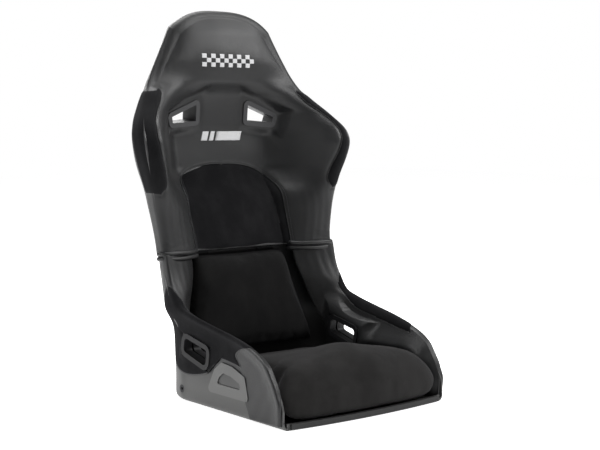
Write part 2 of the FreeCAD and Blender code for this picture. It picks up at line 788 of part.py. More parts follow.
def curve_point(start, control, end, share):
    """Point of the quadratic curve from start to end that leans on a control point."""
    rest = 1 - share
    return tuple(start * rest ** 2 + control * (2 * rest * share) + end * share ** 2)


def make_bolsters():
    """Foam and covers of the seat half's side bolsters."""
    cover = size("cover_thickness")
    gap = size("layer_gap")
    tunnels = lap_holes(sleeve_shrink(size("slot_fit")), 150, 300)
    seats = lap_holes(-size("slot_fit"), size("lap_inner_x") - 30, size("lap_inner_x") + 8)
    wall = made("lower_shell")
    for side, name in ((-1, "right"), (1, "left")):
        face, hidden = bolster_grids(side, 0.01, 1.0, 0.0, 1.0, cover + gap)
        foam = solid_between(face, hidden)
        outside = hip_skin(side, -size("shell_wall") / 2, size("boss_diameter"))
        shape_part(f"bolster_foam_{name}", cut_all(foam, tunnels + seats + [outside, wall]))
        outer, _ = bolster_grids(side, 0.01, 1.0, 0.1, 1.0, 0.0)
        inner, _ = bolster_grids(side, 0.01, 1.0, 0.1, 1.0, cover)
        skin = solid_between(outer, inner)
        shape_part(f"bolster_cover_{name}", cut_all(skin, tunnels + seats + [wall]))
        panel = cut_all(hip_panel(side), [wall, made(f"bolster_cover_{name}")])
        shape_part(f"hip_panel_{name}", panel)


def hip_panel(side):
    """Suede skin on the outside of a side wall, with the opening for the lap-belt frame."""
    near = 2 * size("layer_gap")
    skin = hip_skin(side, near, near + size("cover_thickness"))
    x = size("base_width") / 2
    return cut_all(skin, lap_holes(-size("slot_fit"), x - 4, x + 30))


def hip_skin(side, near, far):
    """Layer beside a side wall, from the ridge down past the lap-belt slot.

    It lies between the distances `near` and `far` outside the wall's outer face.
    """
    outside = []
    inside = []
    for i in range(21):
        _, y, top = along(RIDGE, mix(0.21, 0.86, i / 20))
        foot = smooth([(-240, 122), (-170, 113), (-110, 112), (-80, 70), (-60, 60), (60, 60)], y)
        high = top - 2 * size("ridge_edge")
        low = min(foot + 2, high - 18)
        heights = [mix(low, high, j / 8) for j in range(9)]
        outside.append([(side * (half_width(z) + far), min(y, 40), z) for z in heights])
        inside.append([(side * (half_width(z) + near), min(y, 40), z) for z in heights])
    return solid_between(outside, inside)


def make_pads():
    """Lift-out cushion and lower back pad, with the hook-and-loop tapes that hold them."""
    shape_part("seat_cushion", cushion_solid())
    shape_part("back_pad", back_pad_solid())
    wall = size("shell_wall")
    thick = size("tape_thickness")
    half = size("tape_width") / 2
    hook_low = wall + 0.3
    loop_low = hook_low + thick + size("layer_gap")
    for label, low in (("back_hook_tape", hook_low), ("back_loop_tape", loop_low)):
        strips = []
        for side in (-1, 1):
            centre = side * size("tape_x")
            faces = []
            for depth in (low, low + thick):
                faces.append([[inside_back(centre + mix(-half, half, i / 4),
                                           size("tape_foot") + size("tape_rise") * j / 4, depth)
                               for j in range(5)] for i in range(5)])
            strips.append(solid_between(*faces))
        shape_part(label, Part.makeCompound(strips))
    for label, low in (("seat_hook_tape", hook_low), ("seat_loop_tape", loop_low)):
        bases = []
        for y in (-60, -240):
            box = doc.addObject("Part::Box", f"{label}_{abs(y)}")
            box.setExpression("Length", "sizes.tape_length")
            box.setExpression("Width", "sizes.tape_width")
            box.setExpression("Height", "sizes.tape_thickness")
            box.Placement.Base = FreeCAD.Vector(-size("tape_length") / 2, y - half, low)
            bases.append(box)
        group = doc.addObject("Part::Compound", label)
        group.Links = bases
        keep(group, label)


def cushion_solid():
    """Seat cushion: a crowned top that rolls down over the front, on a flat base."""
    back = size("cushion_back")
    front = size("cushion_front")
    base = size("cushion_base")
    path = [(back, 102), (back - 16, 116), (-60, 117), (-150, 120), (-205, 131), (-243, 139),
            (-280, 132), (-308, 112), (-front + 8, 84), (-front - 2, 50), (-front - 2, 26)]
    under = [(back, 90), (back, base), (-front + 26, base)]
    rows = 17
    top = []
    bottom = []
    for i in range(17):
        u = -1 + 2 * i / 16
        top_row = []
        bottom_row = []
        for (y, z), (y2, z2) in zip(spaced(path, rows), spaced(under, rows)):
            hump = math.exp(-((y + 243) / 60) ** 2) * (1 - math.exp(-(u * 2.6) ** 2))
            sag = 16 * hump + 12 * abs(u) ** 6
            top_row.append((u * cushion_half(y), y - cushion_bow(u, y), max(z - sag, base + 12)))
            bottom_row.append((u * (cushion_half(y2) - 10), y2 - cushion_bow(u, y2), z2))
        top.append(top_row)
        bottom.append(bottom_row)
    return solid_between(top, bottom)


def cushion_half(y):
    """Half-width of the cushion: it widens over the front, past the ends of the bolsters."""
    front = -size("cushion_front")
    wide = size("cushion_front_width") / 2
    narrow = size("cushion_width") / 2
    return smooth([(front, wide), (front + 12, wide), (front + 48, narrow), (0, narrow)], y)


def cushion_bow(u, y):
    """Forward bow of the cushion's front, which follows the lip of the pan."""
    return size("front_bow") * (1 - u * u) * clamp((-250 - y) / 60, 0, 1)


def back_pad_solid():
    """Lower back pad: wide at its foot, narrow at its top, leaning on the back of the shell."""
    depth = size("shell_wall") + 2 * size("tape_thickness") + 3 * size("layer_gap")
    joint_low = size("waist_height") - size("joint_plate_length") / 2
    front = []
    rear = []
    for i in range(13):
        u = -1 + 2 * i / 12
        front_row = []
        rear_row = []
        for j in range(9):
            v = j / 8
            z = mix(size("pad_bottom"), size("pad_top"), v)
            half = mix(size("pad_bottom_width"), size("pad_top_width"), v ** 0.8) / 2
            y = smooth([(120, 52), (215, 78), (303, 103), (size("pad_top"), 107)], z)
            front_row.append((u * half, y + 5 * abs(u) ** 5, z))
            relief = size("joint_hollow_depth") * clamp((z - joint_low + 20) / 14, 0, 1)
            rear_row.append(inside_back(u * (half - 6), z, depth + relief))
        front.append(front_row)
        rear.append(rear_row)
    return solid_between(front, rear)


def sketch_on(body, outlines, offset=0.0):
    """Sketch on the body's own XY plane holding one or more rounded outlines."""
    plane = [f for f in body.Origin.OriginFeatures if f.Role == "XY_Plane"][0]
    sketch = body.newObject("Sketcher::SketchObject", "outline")
    sketch.AttachmentSupport = [(plane, "")]
    sketch.MapMode = "FlatFace"
    sketch.AttachmentOffset.Base = FreeCAD.Vector(0, 0, offset)
    for points, radius in outlines:
        for edge in rounded(points, radius):
            sketch.addGeometry(edge)
    return sketch


def frame_body(label, outline, radius, placement, proud_name, sleeve_name):
    """Moulded slot frame: a rounded rim that stands proud, and a sleeve that lines the slot."""
    rim = size("frame_rim")
    body = doc.addObject("PartDesign::Body", label)
    opening = (inset(outline, rim), max(1.5, radius - rim))
    sleeve = (inset(outline, rim - size("sleeve_wall")), max(2.0, radius - rim + 2))
    flange = body.newObject("PartDesign::Pad", "flange")
    flange.Profile = sketch_on(body, [(outline, radius), opening])
    flange.setExpression("Length", f"sizes.{proud_name}")
    doc.recompute()
    tube = body.newObject("PartDesign::Pad", "sleeve")
    tube.Profile = sketch_on(body, [sleeve, opening])
    tube.setExpression("Length", f"sizes.{sleeve_name}")
    tube.Reversed = True
    body.Tip = tube
    body.Placement = placement
    return keep(body, label)


def make_frames():
    """Harness-slot frames front and rear, lap-belt frames outside and inside."""
    back = back_grid()
    plate = solid_between(offset_grid(back, 0.3, (0, 900, 450)),
                          offset_grid(back, 0.3 + size("frame_proud"), (0, 900, 450)))
    for side, name in ((-1, "right"), (1, "left")):
        frame_body(f"harness_frame_front_{name}", harness_outline(side), size("slot_corner"),
                   harness_frame_axes(side), "frame_proud", "harness_sleeve")
        ring = prism(harness_outline(side), size("slot_corner"), harness_frame_axes(side), -90, -10)
        hole = prism(harness_outline(side, sleeve_shrink(0.3)),
                     max(2.0, size("slot_corner") - sleeve_shrink(0.3)),
                     harness_frame_axes(side), -100, 0)
        shape_part(f"harness_frame_rear_{name}", biggest(plate.common(ring).cut(hole)))
        outer_x = size("base_width") / 2 + 3 * size("layer_gap") + size("cover_thickness")
        lap_frame(f"lap_frame_outer_{name}", side, outer_x, "lap_sleeve_outer", 1)
        lap_frame(f"lap_frame_inner_{name}", side, size("lap_inner_x"), "lap_sleeve_inner", -1)


def lap_frame(label, side, x, sleeve_name, facing):
    """Lap-belt slot frame whose rim faces away from (1) or towards (-1) the centre plane."""
    way = side * facing
    outline = [(y * way, z) for y, z in lap_outline()]
    axes = FreeCAD.Placement(FreeCAD.Vector(side * x, 0, 0),
                             FreeCAD.Rotation(FreeCAD.Vector(0, way, 0), FreeCAD.Vector(0, 0, 1),
                                              FreeCAD.Vector(way, 0, 0), "ZXY"))
    frame_body(label, outline, size("lap_corner"), axes, "frame_proud", sleeve_name)


def make_mount_plates():
    """Steel strips inside the side walls, each with two threaded bosses that reach the outside."""
    for side, name in ((-1, "right"), (1, "left")):
        inner = size("base_width") / 2 - size("shell_wall") - size("mount_gap") - size("mount_plate")
        plate = doc.addObject("Part::Box", f"mount_strip_{name}")
        plate.setExpression("Length", "sizes.mount_plate")
        plate.setExpression("Width", "sizes.mount_spacing + 2 * sizes.mount_plate_margin")
        plate.setExpression("Height", "sizes.mount_plate_height")
        x = inner if side > 0 else -inner - size("mount_plate")
        rear, front = mount_points()
        plate.Placement.Base = FreeCAD.Vector(x, front[0] - size("mount_plate_margin"),
                                              size("mount_z") - size("mount_plate_height") / 2)
        pieces = [plate]
        cores = []
        for k, (y, z) in enumerate(mount_points()):
            turn = FreeCAD.Rotation(FreeCAD.Vector(0, 0, 1), FreeCAD.Vector(side, 0, 0))
            boss = doc.addObject("Part::Cylinder", f"mount_boss_{name}_{k}")
            boss.setExpression("Radius", "sizes.boss_diameter / 2")
            boss.setExpression("Height", "sizes.base_width / 2 - " + str(inner - 6))
            boss.Placement = FreeCAD.Placement(FreeCAD.Vector(side * (inner - 6), y, z), turn)
            core = doc.addObject("Part::Cylinder", f"mount_core_{name}_{k}")
            core.setExpression("Radius", "sizes.mount_core / 2")
            core.Height = 40
            core.Placement = FreeCAD.Placement(FreeCAD.Vector(side * (inner - 10), y, z), turn)
            pieces.append(boss)
            cores.append(core)
        solid = doc.addObject("Part::MultiFuse", f"mount_body_{name}")
        solid.Shapes = pieces
        bores = doc.addObject("Part::MultiFuse", f"mount_bores_{name}")
        bores.Shapes = cores
        cut = doc.addObject("Part::Cut", f"side_mount_plate_{name}")
        cut.Base = solid
        cut.Tool = bores
        keep(cut, f"side_mount_plate_{name}")


def make_rolls():
    """Two piped rolls across each bolster at the waist, above the joint."""
    for side, name in ((-1, "right"), (1, "left")):
        rolls = []
        for step in range(2):
            z = size("waist_height") + 5 + step * (2 * size("roll_radius") + 1)
            start = FreeCAD.Vector(side * (half_width(z) - 5), rim_depth(z) - 9, z)
            end = FreeCAD.Vector(side * 142, 98, z)
            middle = (start + end) * 0.5 + FreeCAD.Vector(0, -9, 0)
            spine = Part.Arc(start, middle, end)
            ring = Part.makeCircle(size("roll_radius"), start, spine.tangent(0)[0])
            rolls.append(Part.Wire([spine.toShape()]).makePipeShell([Part.Wire([ring])], True))
        shape_part(f"waist_rolls_{name}", Part.makeCompound(rolls))


def make_lip_trim():
    """Soft strip over the front lip of the pan."""
    width = size("base_width") / 2 - size("base_edge_radius") - 4
    sag = size("front_bow") * (width / (size("base_width") / 2 - size("shell_wall"))) ** 2
    bows = []
    for back_by in (-4.9, -0.9):
        y = back_by - size("base_front") - size("front_bow")
        bows.append(Part.Arc(FreeCAD.Vector(-width, y + sag, 2),
                             FreeCAD.Vector(0, y, 2),
                             FreeCAD.Vector(width, y + sag, 2)))
    outer, inner = bows
    face = Part.Face(Part.Wire([
        outer.toShape(), Part.makeLine(outer.EndPoint, inner.EndPoint), inner.toShape(),
        Part.makeLine(inner.StartPoint, outer.StartPoint)]))
    shape_part("front_lip_trim", face.extrude(FreeCAD.Vector(0, 0, size("lip_height") - 2)))


def check_and_write():
    """Recompute, refuse any failed object or bad shape, and write one STEP file per sub-part."""
    doc.recompute()
    for obj in doc.Objects:
        if "Invalid" in obj.State or "Error" in obj.State:
            raise RuntimeError(f"{obj.Name} failed: {obj.State}")
    os.makedirs("parts", exist_ok=True)
    for part in parts:
        shape = part.Shape
        if shape.isNull() or not shape.isValid():
            raise RuntimeError(f"{part.Label} has no valid shape")
        box = shape.BoundBox
        print(f"{part.Label}: {len(shape.Solids)} solid(s), {shape.Volume / 1000:.1f} cm3, "
              f"{box.XLength:.0f} x {box.YLength:.0f} x {box.ZLength:.0f}")
        shape.exportStep(f"parts/{part.Label}.step")


make_shells()
make_joint()
make_back_soft()
make_bolsters()
make_pads()
make_frames()
make_mount_plates()
make_rolls()
make_lip_trim()
check_and_write()
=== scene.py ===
"""Racing seat: sewn covers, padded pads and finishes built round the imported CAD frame.

Everything is in metres in the CAD frame: +Z up, the occupant faces -Y, and the seat is the same on
both sides of the plane x = 0. Side -1 is the near side (-X), side +1 the far side (+X).
"""

import logging
import math
from dataclasses import dataclass, field
from enum import Enum
from typing import Iterable, Optional, Sequence

import bmesh
import bpy
import numpy as np
from mathutils import Matrix, Vector


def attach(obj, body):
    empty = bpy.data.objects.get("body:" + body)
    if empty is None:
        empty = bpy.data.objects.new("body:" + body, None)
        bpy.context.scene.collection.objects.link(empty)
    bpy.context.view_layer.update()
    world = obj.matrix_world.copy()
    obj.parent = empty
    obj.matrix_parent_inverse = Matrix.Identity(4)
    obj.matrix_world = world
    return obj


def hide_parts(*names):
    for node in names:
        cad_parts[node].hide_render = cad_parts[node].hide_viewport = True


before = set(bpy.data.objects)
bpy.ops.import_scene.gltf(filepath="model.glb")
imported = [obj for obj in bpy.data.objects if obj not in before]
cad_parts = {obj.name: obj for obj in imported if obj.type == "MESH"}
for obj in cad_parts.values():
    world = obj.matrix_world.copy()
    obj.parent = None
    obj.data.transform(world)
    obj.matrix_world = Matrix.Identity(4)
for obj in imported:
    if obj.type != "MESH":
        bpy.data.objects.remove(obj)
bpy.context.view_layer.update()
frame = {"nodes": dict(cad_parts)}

Array = np.ndarray
MM = 0.001
SLOT_OVERLAP = 0.0045  # how far a cover reaches in under a slot's frame
log = logging.getLogger("racing_seat")


class Side(Enum):
    """The two sides of the seat."""

    RIGHT = -1
    LEFT = 1

    @property
    def word(self) -> str:
        """Name of the side as the CAD nodes have it."""
        return self.name.lower()


# ------------------------------------------------------------------ curves and grids

class Curve:
    """Monotone cubic through stations: between two of them it never over- or undershoots."""

    def __init__(self, at: Sequence[float], values: Sequence[float]) -> None:
        """Stores the stations and a slope at each one (the harmonic mean of its neighbours).

        Args:
            at: places of the stations, rising.
            values: value at each station.
        """
        self.at = np.asarray(at, float)
        self.values = np.asarray(values, float)
        step = np.diff(self.values) / np.diff(self.at)
        same = step[:-1] * step[1:] > 0
        total = np.where(same, step[:-1] + step[1:], 1.0)
        inner = np.where(same, 2 * step[:-1] * step[1:] / total, 0.0)
        self.slopes = np.concatenate([step[:1], inner, step[-1:]])

    @classmethod
    def mm(cls, *stations: tuple[float, float]) -> "Curve":
        """Curve whose places and values are given in millimetres."""
        return cls([p * MM for p, _ in stations], [v * MM for _, v in stations])

    @classmethod
    def plain(cls, *stations: tuple[float, float]) -> "Curve":
        """Curve whose places are in millimetres and whose values are plain numbers."""
        return cls([p * MM for p, _ in stations], [v for _, v in stations])

    def __call__(self, where: Array | float) -> Array:
        """Values at the given places, held at the end values outside the stations.

        Args:
            where: places, as an array of any shape.

        Returns:
            The values, in the same shape.
        """
        where = np.clip(where, self.at[0], self.at[-1])
        i = np.clip(np.searchsorted(self.at, where, side="right") - 1, 0, len(self.at) - 2)
        width = self.at[i + 1] - self.at[i]
        t = (where - self.at[i]) / width
        return ((1 + 2 * t) * (1 - t) ** 2 * self.values[i] + t * (1 - t) ** 2 * width * self.slopes[i]
                + t * t * (3 - 2 * t) * self.values[i + 1] + t * t * (t - 1) * width * self.slopes[i + 1])


class Track:
    """Smooth run of 3-D points through stations numbered 0, 1, 2 and so on."""

    def __init__(self, *points: tuple[float, float, float]) -> None:
        """Stores one monotone curve per axis.

        Args:
            points: the stations, in millimetres.
        """
        count = np.arange(len(points))
        self.last = len(points) - 1
        self.axes = [Curve(count, np.array([p[k] for p in points]) * MM) for k in range(3)]

    def __call__(self, where: Array) -> Array:
        """Points at station numbers, with a last axis of 3."""
        return np.stack([axis(where) for axis in self.axes], axis=-1)


def smoothstep(value: Array, low: float, high: float) -> Array:
    """0 below `low`, 1 above `high`, and 3t^2 - 2t^3 between them."""
    t = np.clip((value - low) / (high - low), 0, 1)
    return t * t * (3 - 2 * t)


def mix(a: Array | float, b: Array | float, share: Array | float) -> Array:
    """Straight blend from a to b."""
    return a + (b - a) * share


def cut_corners(lines: Array, rounds: int = 3) -> Array:
    """Rounds polylines by cutting every corner at a quarter and three quarters of its edges.

    Args:
        lines: array (lines, points, 3).
        rounds: how many times the corners are cut.

    Returns:
        The rounded lines, which keep their first and last points.
    """
    for _ in range(rounds):
        a, b = lines[:, :-1], lines[:, 1:]
        inner = np.stack([0.75 * a + 0.25 * b, 0.25 * a + 0.75 * b], axis=2)
        inner = inner.reshape(len(lines), -1, 3)
        lines = np.concatenate([lines[:, :1], inner, lines[:, -1:]], axis=1)
    return lines


def resample(lines: Array, shares: Array) -> Array:
    """Points at shares of the length of each line.

    Args:
        lines: array (lines, points, 3).
        shares: shares 0 to 1, as (count,) or (lines, count).

    Returns:
        Array (lines, count, 3).
    """
    steps = np.linalg.norm(np.diff(lines, axis=1), axis=2)
    run = np.concatenate([np.zeros((len(lines), 1)), np.cumsum(steps, axis=1)], axis=1)
    run = run / run[:, -1:]
    shares = np.broadcast_to(shares, (len(lines), np.shape(shares)[-1]))
    i = np.clip((run[:, None, :] <= shares[:, :, None]).sum(axis=2) - 1, 0, run.shape[1] - 2)
    low = np.take_along_axis(run, i, 1)
    high = np.take_along_axis(run, i + 1, 1)
    t = ((shares - low) / np.maximum(high - low, 1e-12))[..., None]
    a = np.take_along_axis(lines, i[..., None], 1)
    b = np.take_along_axis(lines, i[..., None] + 1, 1)
    return a + (b - a) * t


def grid_quads(rows: int, columns: int, closed_rows: bool = False,
               closed_columns: bool = False) -> Array:
    """Four-sided faces of a grid of points numbered row by row.

    Args:
        rows: number of rows.
        columns: number of columns.
        closed_rows: the last row joins the first.
        closed_columns: the last column joins the first.

    Returns:
        Array (faces, 4) of point numbers.
    """
    index = np.arange(rows * columns).reshape(rows, columns)
    if closed_rows:
        index = np.vstack([index, index[:1]])
    if closed_columns:
        index = np.hstack([index, index[:, :1]])
    corners = [index[:-1, :-1], index[1:, :-1], index[1:, 1:], index[:-1, 1:]]
    return np.stack(corners, axis=-1).reshape(-1, 4)


def grid_normals(grid: Array, aim: Sequence[float]) -> Array:
    """Unit normals of a grid: the cross product of its two slopes, on the side that `aim` points to.

    Args:
        grid: array (rows, columns, 3).
        aim: direction that the middle normal should follow.

    Returns:
        Array (rows, columns, 3).
    """
    normal = np.cross(np.gradient(grid, axis=0), np.gradient(grid, axis=1))
    normal /= np.maximum(np.linalg.norm(normal, axis=2, keepdims=True), 1e-12)
    sign = np.sign((normal * np.asarray(aim)).sum())
    return normal * (sign or 1.0)


def unit(vectors: Array) -> Array:
    """Vectors scaled to length 1."""
    return vectors / np.maximum(np.linalg.norm(vectors, axis=-1, keepdims=True), 1e-12)


# ------------------------------------------------------------------ meshes

def make_object(name: str, points: Array, faces: Array,
                aim: Optional[Sequence[float]] = None) -> bpy.types.Object:
    """New mesh object at the origin, shaded smooth, with its faces turned one way.

    Args:
        name: name of the piece.
        points: array (..., 3) of places.
        faces: array (faces, corners) of point numbers.
        aim: direction that most of an open surface faces; leave it out for a closed one.

    Returns:
        The new object.
    """
    mesh = bpy.data.meshes.new(name)
    mesh.from_pydata(np.reshape(points, (-1, 3)).tolist(), [], np.asarray(faces).tolist())
    work = bmesh.new()
    work.from_mesh(mesh)
    bmesh.ops.remove_doubles(work, verts=work.verts, dist=1e-6)
    loose = [v for v in work.verts if not v.link_faces]
    bmesh.ops.delete(work, geom=loose, context="VERTS")
    bmesh.ops.recalc_face_normals(work, faces=work.faces)
    if aim is not None:
        total = sum((f.normal * f.calc_area() for f in work.faces), Vector())
        if total.dot(Vector(aim)) < 0:
            bmesh.ops.reverse_faces(work, faces=work.faces)
    work.to_mesh(mesh)
    work.free()
    mesh.polygons.foreach_set("use_smooth", np.ones(len(mesh.polygons), bool))
    made = bpy.data.objects.new(name, mesh)
    bpy.context.scene.collection.objects.link(made)
    return made


def thicken(piece: bpy.types.Object, thickness: float) -> bpy.types.Object:
    """Gives a sheet its real thickness, on its inner side."""
    wall = piece.modifiers.new("thickness", "SOLIDIFY")
    wall.thickness = thickness
    wall.offset = -1.0
    return piece


def tube(path: Array, normals: Array, radius: float, around: int = 10) -> tuple[Array, Array]:
    """Round cord along a path: at each point a circle in the plane of the path's normal and side.

    Args:
        path: array (points, 3).
        normals: array (points, 3), roughly square to the path.
        radius: radius of the cord.
        around: points round the circle.

    Returns:
        The points and the four-sided faces, with closed ends.
    """
    along = unit(np.gradient(path, axis=0))
    side = unit(np.cross(along, normals))
    up = np.cross(side, along)
    turn = np.linspace(0, 2 * np.pi, around, endpoint=False)
    ring = (side[:, None] * np.cos(turn)[None, :, None] + up[:, None] * np.sin(turn)[None, :, None])
    size = np.full(len(path) + 2, radius)
    size[[0, -1]] = radius * 0.02
    centre = np.concatenate([path[:1] - along[:1] * radius * 0.5, path,
                             path[-1:] + along[-1:] * radius * 0.5])
    ring = np.concatenate([ring[:1], ring, ring[-1:]])
    points = centre[:, None] + ring * size[:, None, None]
    return points.reshape(-1, 3), grid_quads(len(centre), around, closed_columns=True)


def join(parts: Iterable[tuple[Array, Array]]) -> tuple[Array, Array]:
    """One set of points and faces from several."""
    points, faces, base = [], [], 0
    for some, quads in parts:
        points.append(some)
        faces.append(quads + base)
        base += len(some)
    return np.concatenate(points), np.concatenate(faces)


def stitches(path: Array, normals: Array, pitch: float = 0.0052, length: float = 0.0036,
             radius: float = 0.00042) -> tuple[Array, Array]:
    """Row of sewn threads: each is a short spindle that rises out of the cover and dips back in.

    Args:
        path: array (points, 3) that the needle follows on the cover.
        normals: array (points, 3) of outward normals there.
        pitch: distance from one stitch to the next.
        length: length of one stitch.
        radius: thickness of the thread.

    Returns:
        The points and faces of all the stitches.
    """
    total = np.linalg.norm(np.diff(path, axis=0), axis=1).sum()
    count = max(2, int(total / pitch))
    shares = np.linspace(0.01, 0.99, count)
    place = resample(path[None], shares)[0]
    ahead = resample(path[None], np.clip(shares + 0.002, 0, 1))[0]
    along = unit(ahead - place)
    out = unit(resample(normals[None], shares)[0])
    side = np.cross(along, out)
    step = np.linspace(-0.5, 0.5, 5)
    rise = radius * (0.9 - 3.4 * step ** 2 * 1.6)
    centre = (place[:, None] + along[:, None] * (step * length)[None, :, None]
              + out[:, None] * rise[None, :, None])
    turn = np.linspace(0, 2 * np.pi, 6, endpoint=False)
    girth = radius * np.sqrt(np.maximum(1.02 - (2 * step) ** 2, 0.02))
    circle = (side[:, None] * np.cos(turn)[None, :, None] + out[:, None] * np.sin(turn)[None, :, None])
    points = centre[:, :, None] + circle[:, None] * girth[None, :, None, None]
    quads = grid_quads(5, 6, closed_columns=True)
    faces = (quads[None] + (np.arange(count) * 30)[:, None, None]).reshape(-1, 4)
    return points.reshape(-1, 3), faces


# ------------------------------------------------------------------ form of the seat

@dataclass(frozen=True)
class SeatForm:
    """Outer form of the back half, as the CAD has it: height fields over the x-z plane."""

    waist: float = 0.324
    rim_top: float = 0.840
    crown_rise: float = 0.045
    head_arc: float = 0.93
    brow_height: float = 0.716
    brow_flat: float = 0.03
    brow_fall: float = 8.18
    hollow_depth: float = 0.006
    cover: float = 0.0016
    half_width: Curve = field(default_factory=lambda: Curve.mm(
        (0, 230), (160, 230), (212, 248), (322, 247), (450, 265), (585, 299), (708, 219),
        (800, 166), (840, 144)))
    back_depth: Curve = field(default_factory=lambda: Curve.mm(
        (0, 111), (60, 114), (150, 122), (300, 150), (322, 153), (400, 172), (480, 203), (530, 225),
        (600, 230), (708, 221), (770, 212), (885, 213)))
    rim_depth: Curve = field(default_factory=lambda: Curve.mm(
        (322, 64), (360, 69), (420, 71), (480, 66), (530, 55), (570, 50), (600, 60), (640, 96),
        (675, 133), (708, 160), (750, 176), (800, 190), (885, 205)))
    setback: float = 0.008
    front_depth: Curve = field(default_factory=lambda: Curve.mm(
        (290, 101), (322, 107), (404, 137), (446, 155), (480, 178), (520, 190), (600, 191),
        (640, 189), (680, 184), (700, 175), (722, 165), (765, 160), (825, 170), (885, 196)))
    flat: Curve = field(default_factory=lambda: Curve.plain(
        (290, 0.555), (404, 0.535), (520, 0.46), (640, 0.47), (710, 0.2), (800, 0.02)))
    exponent: Curve = field(default_factory=lambda: Curve.plain(
        (320, 2.7), (500, 2.4), (700, 2.3), (840, 2.2)))
    roll_in: Curve = field(default_factory=lambda: Curve.mm(
        (322, 13), (450, 17), (585, 27), (700, 19), (800, 22), (840, 20)))
    roll_back: Curve = field(default_factory=lambda: Curve.mm(
        (322, 11), (450, 15), (585, 30), (700, 17), (800, 15), (840, 14)))
    tail_in: Curve = field(default_factory=lambda: Curve.mm(
        (322, 0.25), (450, 0.4), (585, 1.2), (700, 2.5), (760, 7), (840, 9)))
    tail_end: Curve = field(default_factory=lambda: Curve.mm(
        (322, 0.5), (450, 0.9), (540, 3.0), (585, 5.0), (640, 4.5), (700, 7), (760, 18), (840, 22)))

    def rise(self, rim: Array) -> Array:
        """Rise of the centre over the rim: it starts a third of the way up and steepens."""
        level = np.clip((rim - self.waist) / (self.rim_top - self.waist), 0, 1)
        return self.crown_rise * np.clip((level - 0.35) / 0.65, 0, 1) ** 1.6

    def lift(self, share: Array) -> Array:
        """Share of the rise at a share of the half-width: 1 - share^2.9."""
        return 1 - np.clip(np.abs(share), 0, 1) ** 2.9

    def rim_level(self, x: Array, z: Array) -> Array:
        """Height on the rim of the row that passes through (x, z), found by repeated correction."""
        rim = np.clip(z, self.waist, self.rim_top)
        for _ in range(8):
            rim = np.clip(z - self.rise(rim) * self.lift(x / self.half_width(rim)),
                          self.waist - 0.03, self.rim_top)
        return rim

    def shell_y(self, x: Array, z: Array) -> Array:
        """Depth of the moulded shell's outer face: a superellipse from the rim round the back."""
        rim = self.rim_level(x, z)
        exponent = self.exponent(rim)
        edge = self.rim_depth(rim) + self.setback
        back = self.back_depth(rim)
        bend = mix(edge, back, 0.12)
        share = np.clip(np.abs(x) / self.half_width(rim), 0, 1)
        y = bend + (back - bend) * (1 - share ** exponent) ** (1 / exponent)
        return y + (self.back_depth(rim + self.rise(rim)) - back) * self.lift(share)

    def front_y(self, x: Array, z: Array) -> Array:
        """Depth of the finished front: a flat middle, then a crest up to the rim.

        The crest is a quarter sine on the waist columns, which gives a deep crease beside the
        centre panel, a smoothstep at the shoulders, and a quarter ellipse on the head.
        """
        rim = self.rim_level(x, z)
        width = self.half_width(rim) - self.roll_in(rim)
        share = np.clip(np.abs(x) / width, 0, 1)
        flat = self.flat(z)
        climb = np.clip((share - flat) / (1 - flat), 0, 1)
        plain = climb * climb * (3 - 2 * climb)
        column = np.sin(np.pi / 2 * climb ** 0.8) ** 0.9
        head = (1 - np.sqrt(1 - self.head_arc * climb ** 2.4)) / (1 - math.sqrt(1 - self.head_arc))
        crest = mix(plain, column, 1 - smoothstep(z, 0.42, 0.52))
        crest = mix(crest, head, smoothstep(z, 0.70, 0.77))
        y = mix(self.front_depth(z), self.rim_depth(rim), crest)
        return y + self.hollow(x, z)

    def hollow(self, x: Array, z: Array) -> Array:
        """Extra depth under the head pad: a hollow whose top is an arched brow, for the harness slots."""
        brow = self.brow_height - self.brow_fall * np.maximum(np.abs(x) - self.brow_flat, 0) ** 2
        under = smoothstep(brow - z, -0.004, 0.026) * smoothstep(z, 0.52, 0.62)
        side = 1 - smoothstep(np.abs(x), 0.12, 0.20)
        return self.hollow_depth * under * side

    def inner_border(self, u: Array, rim: Array, crown: Array) -> Array:
        """Place where the front ends and the roll over the edge starts.

        Args:
            u: share of the half-width, -1 to 1.
            rim: height on the rim.
            crown: 0 below the crown and 1 on it.

        Returns:
            Array (..., 3).
        """
        x = u * (self.half_width(rim) - self.roll_in(rim))
        z = rim + self.rise(rim) * self.lift(u) - crown * self.roll_in(rim) * 0.8
        return np.stack([x, self.front_y(x, z), z], axis=-1)

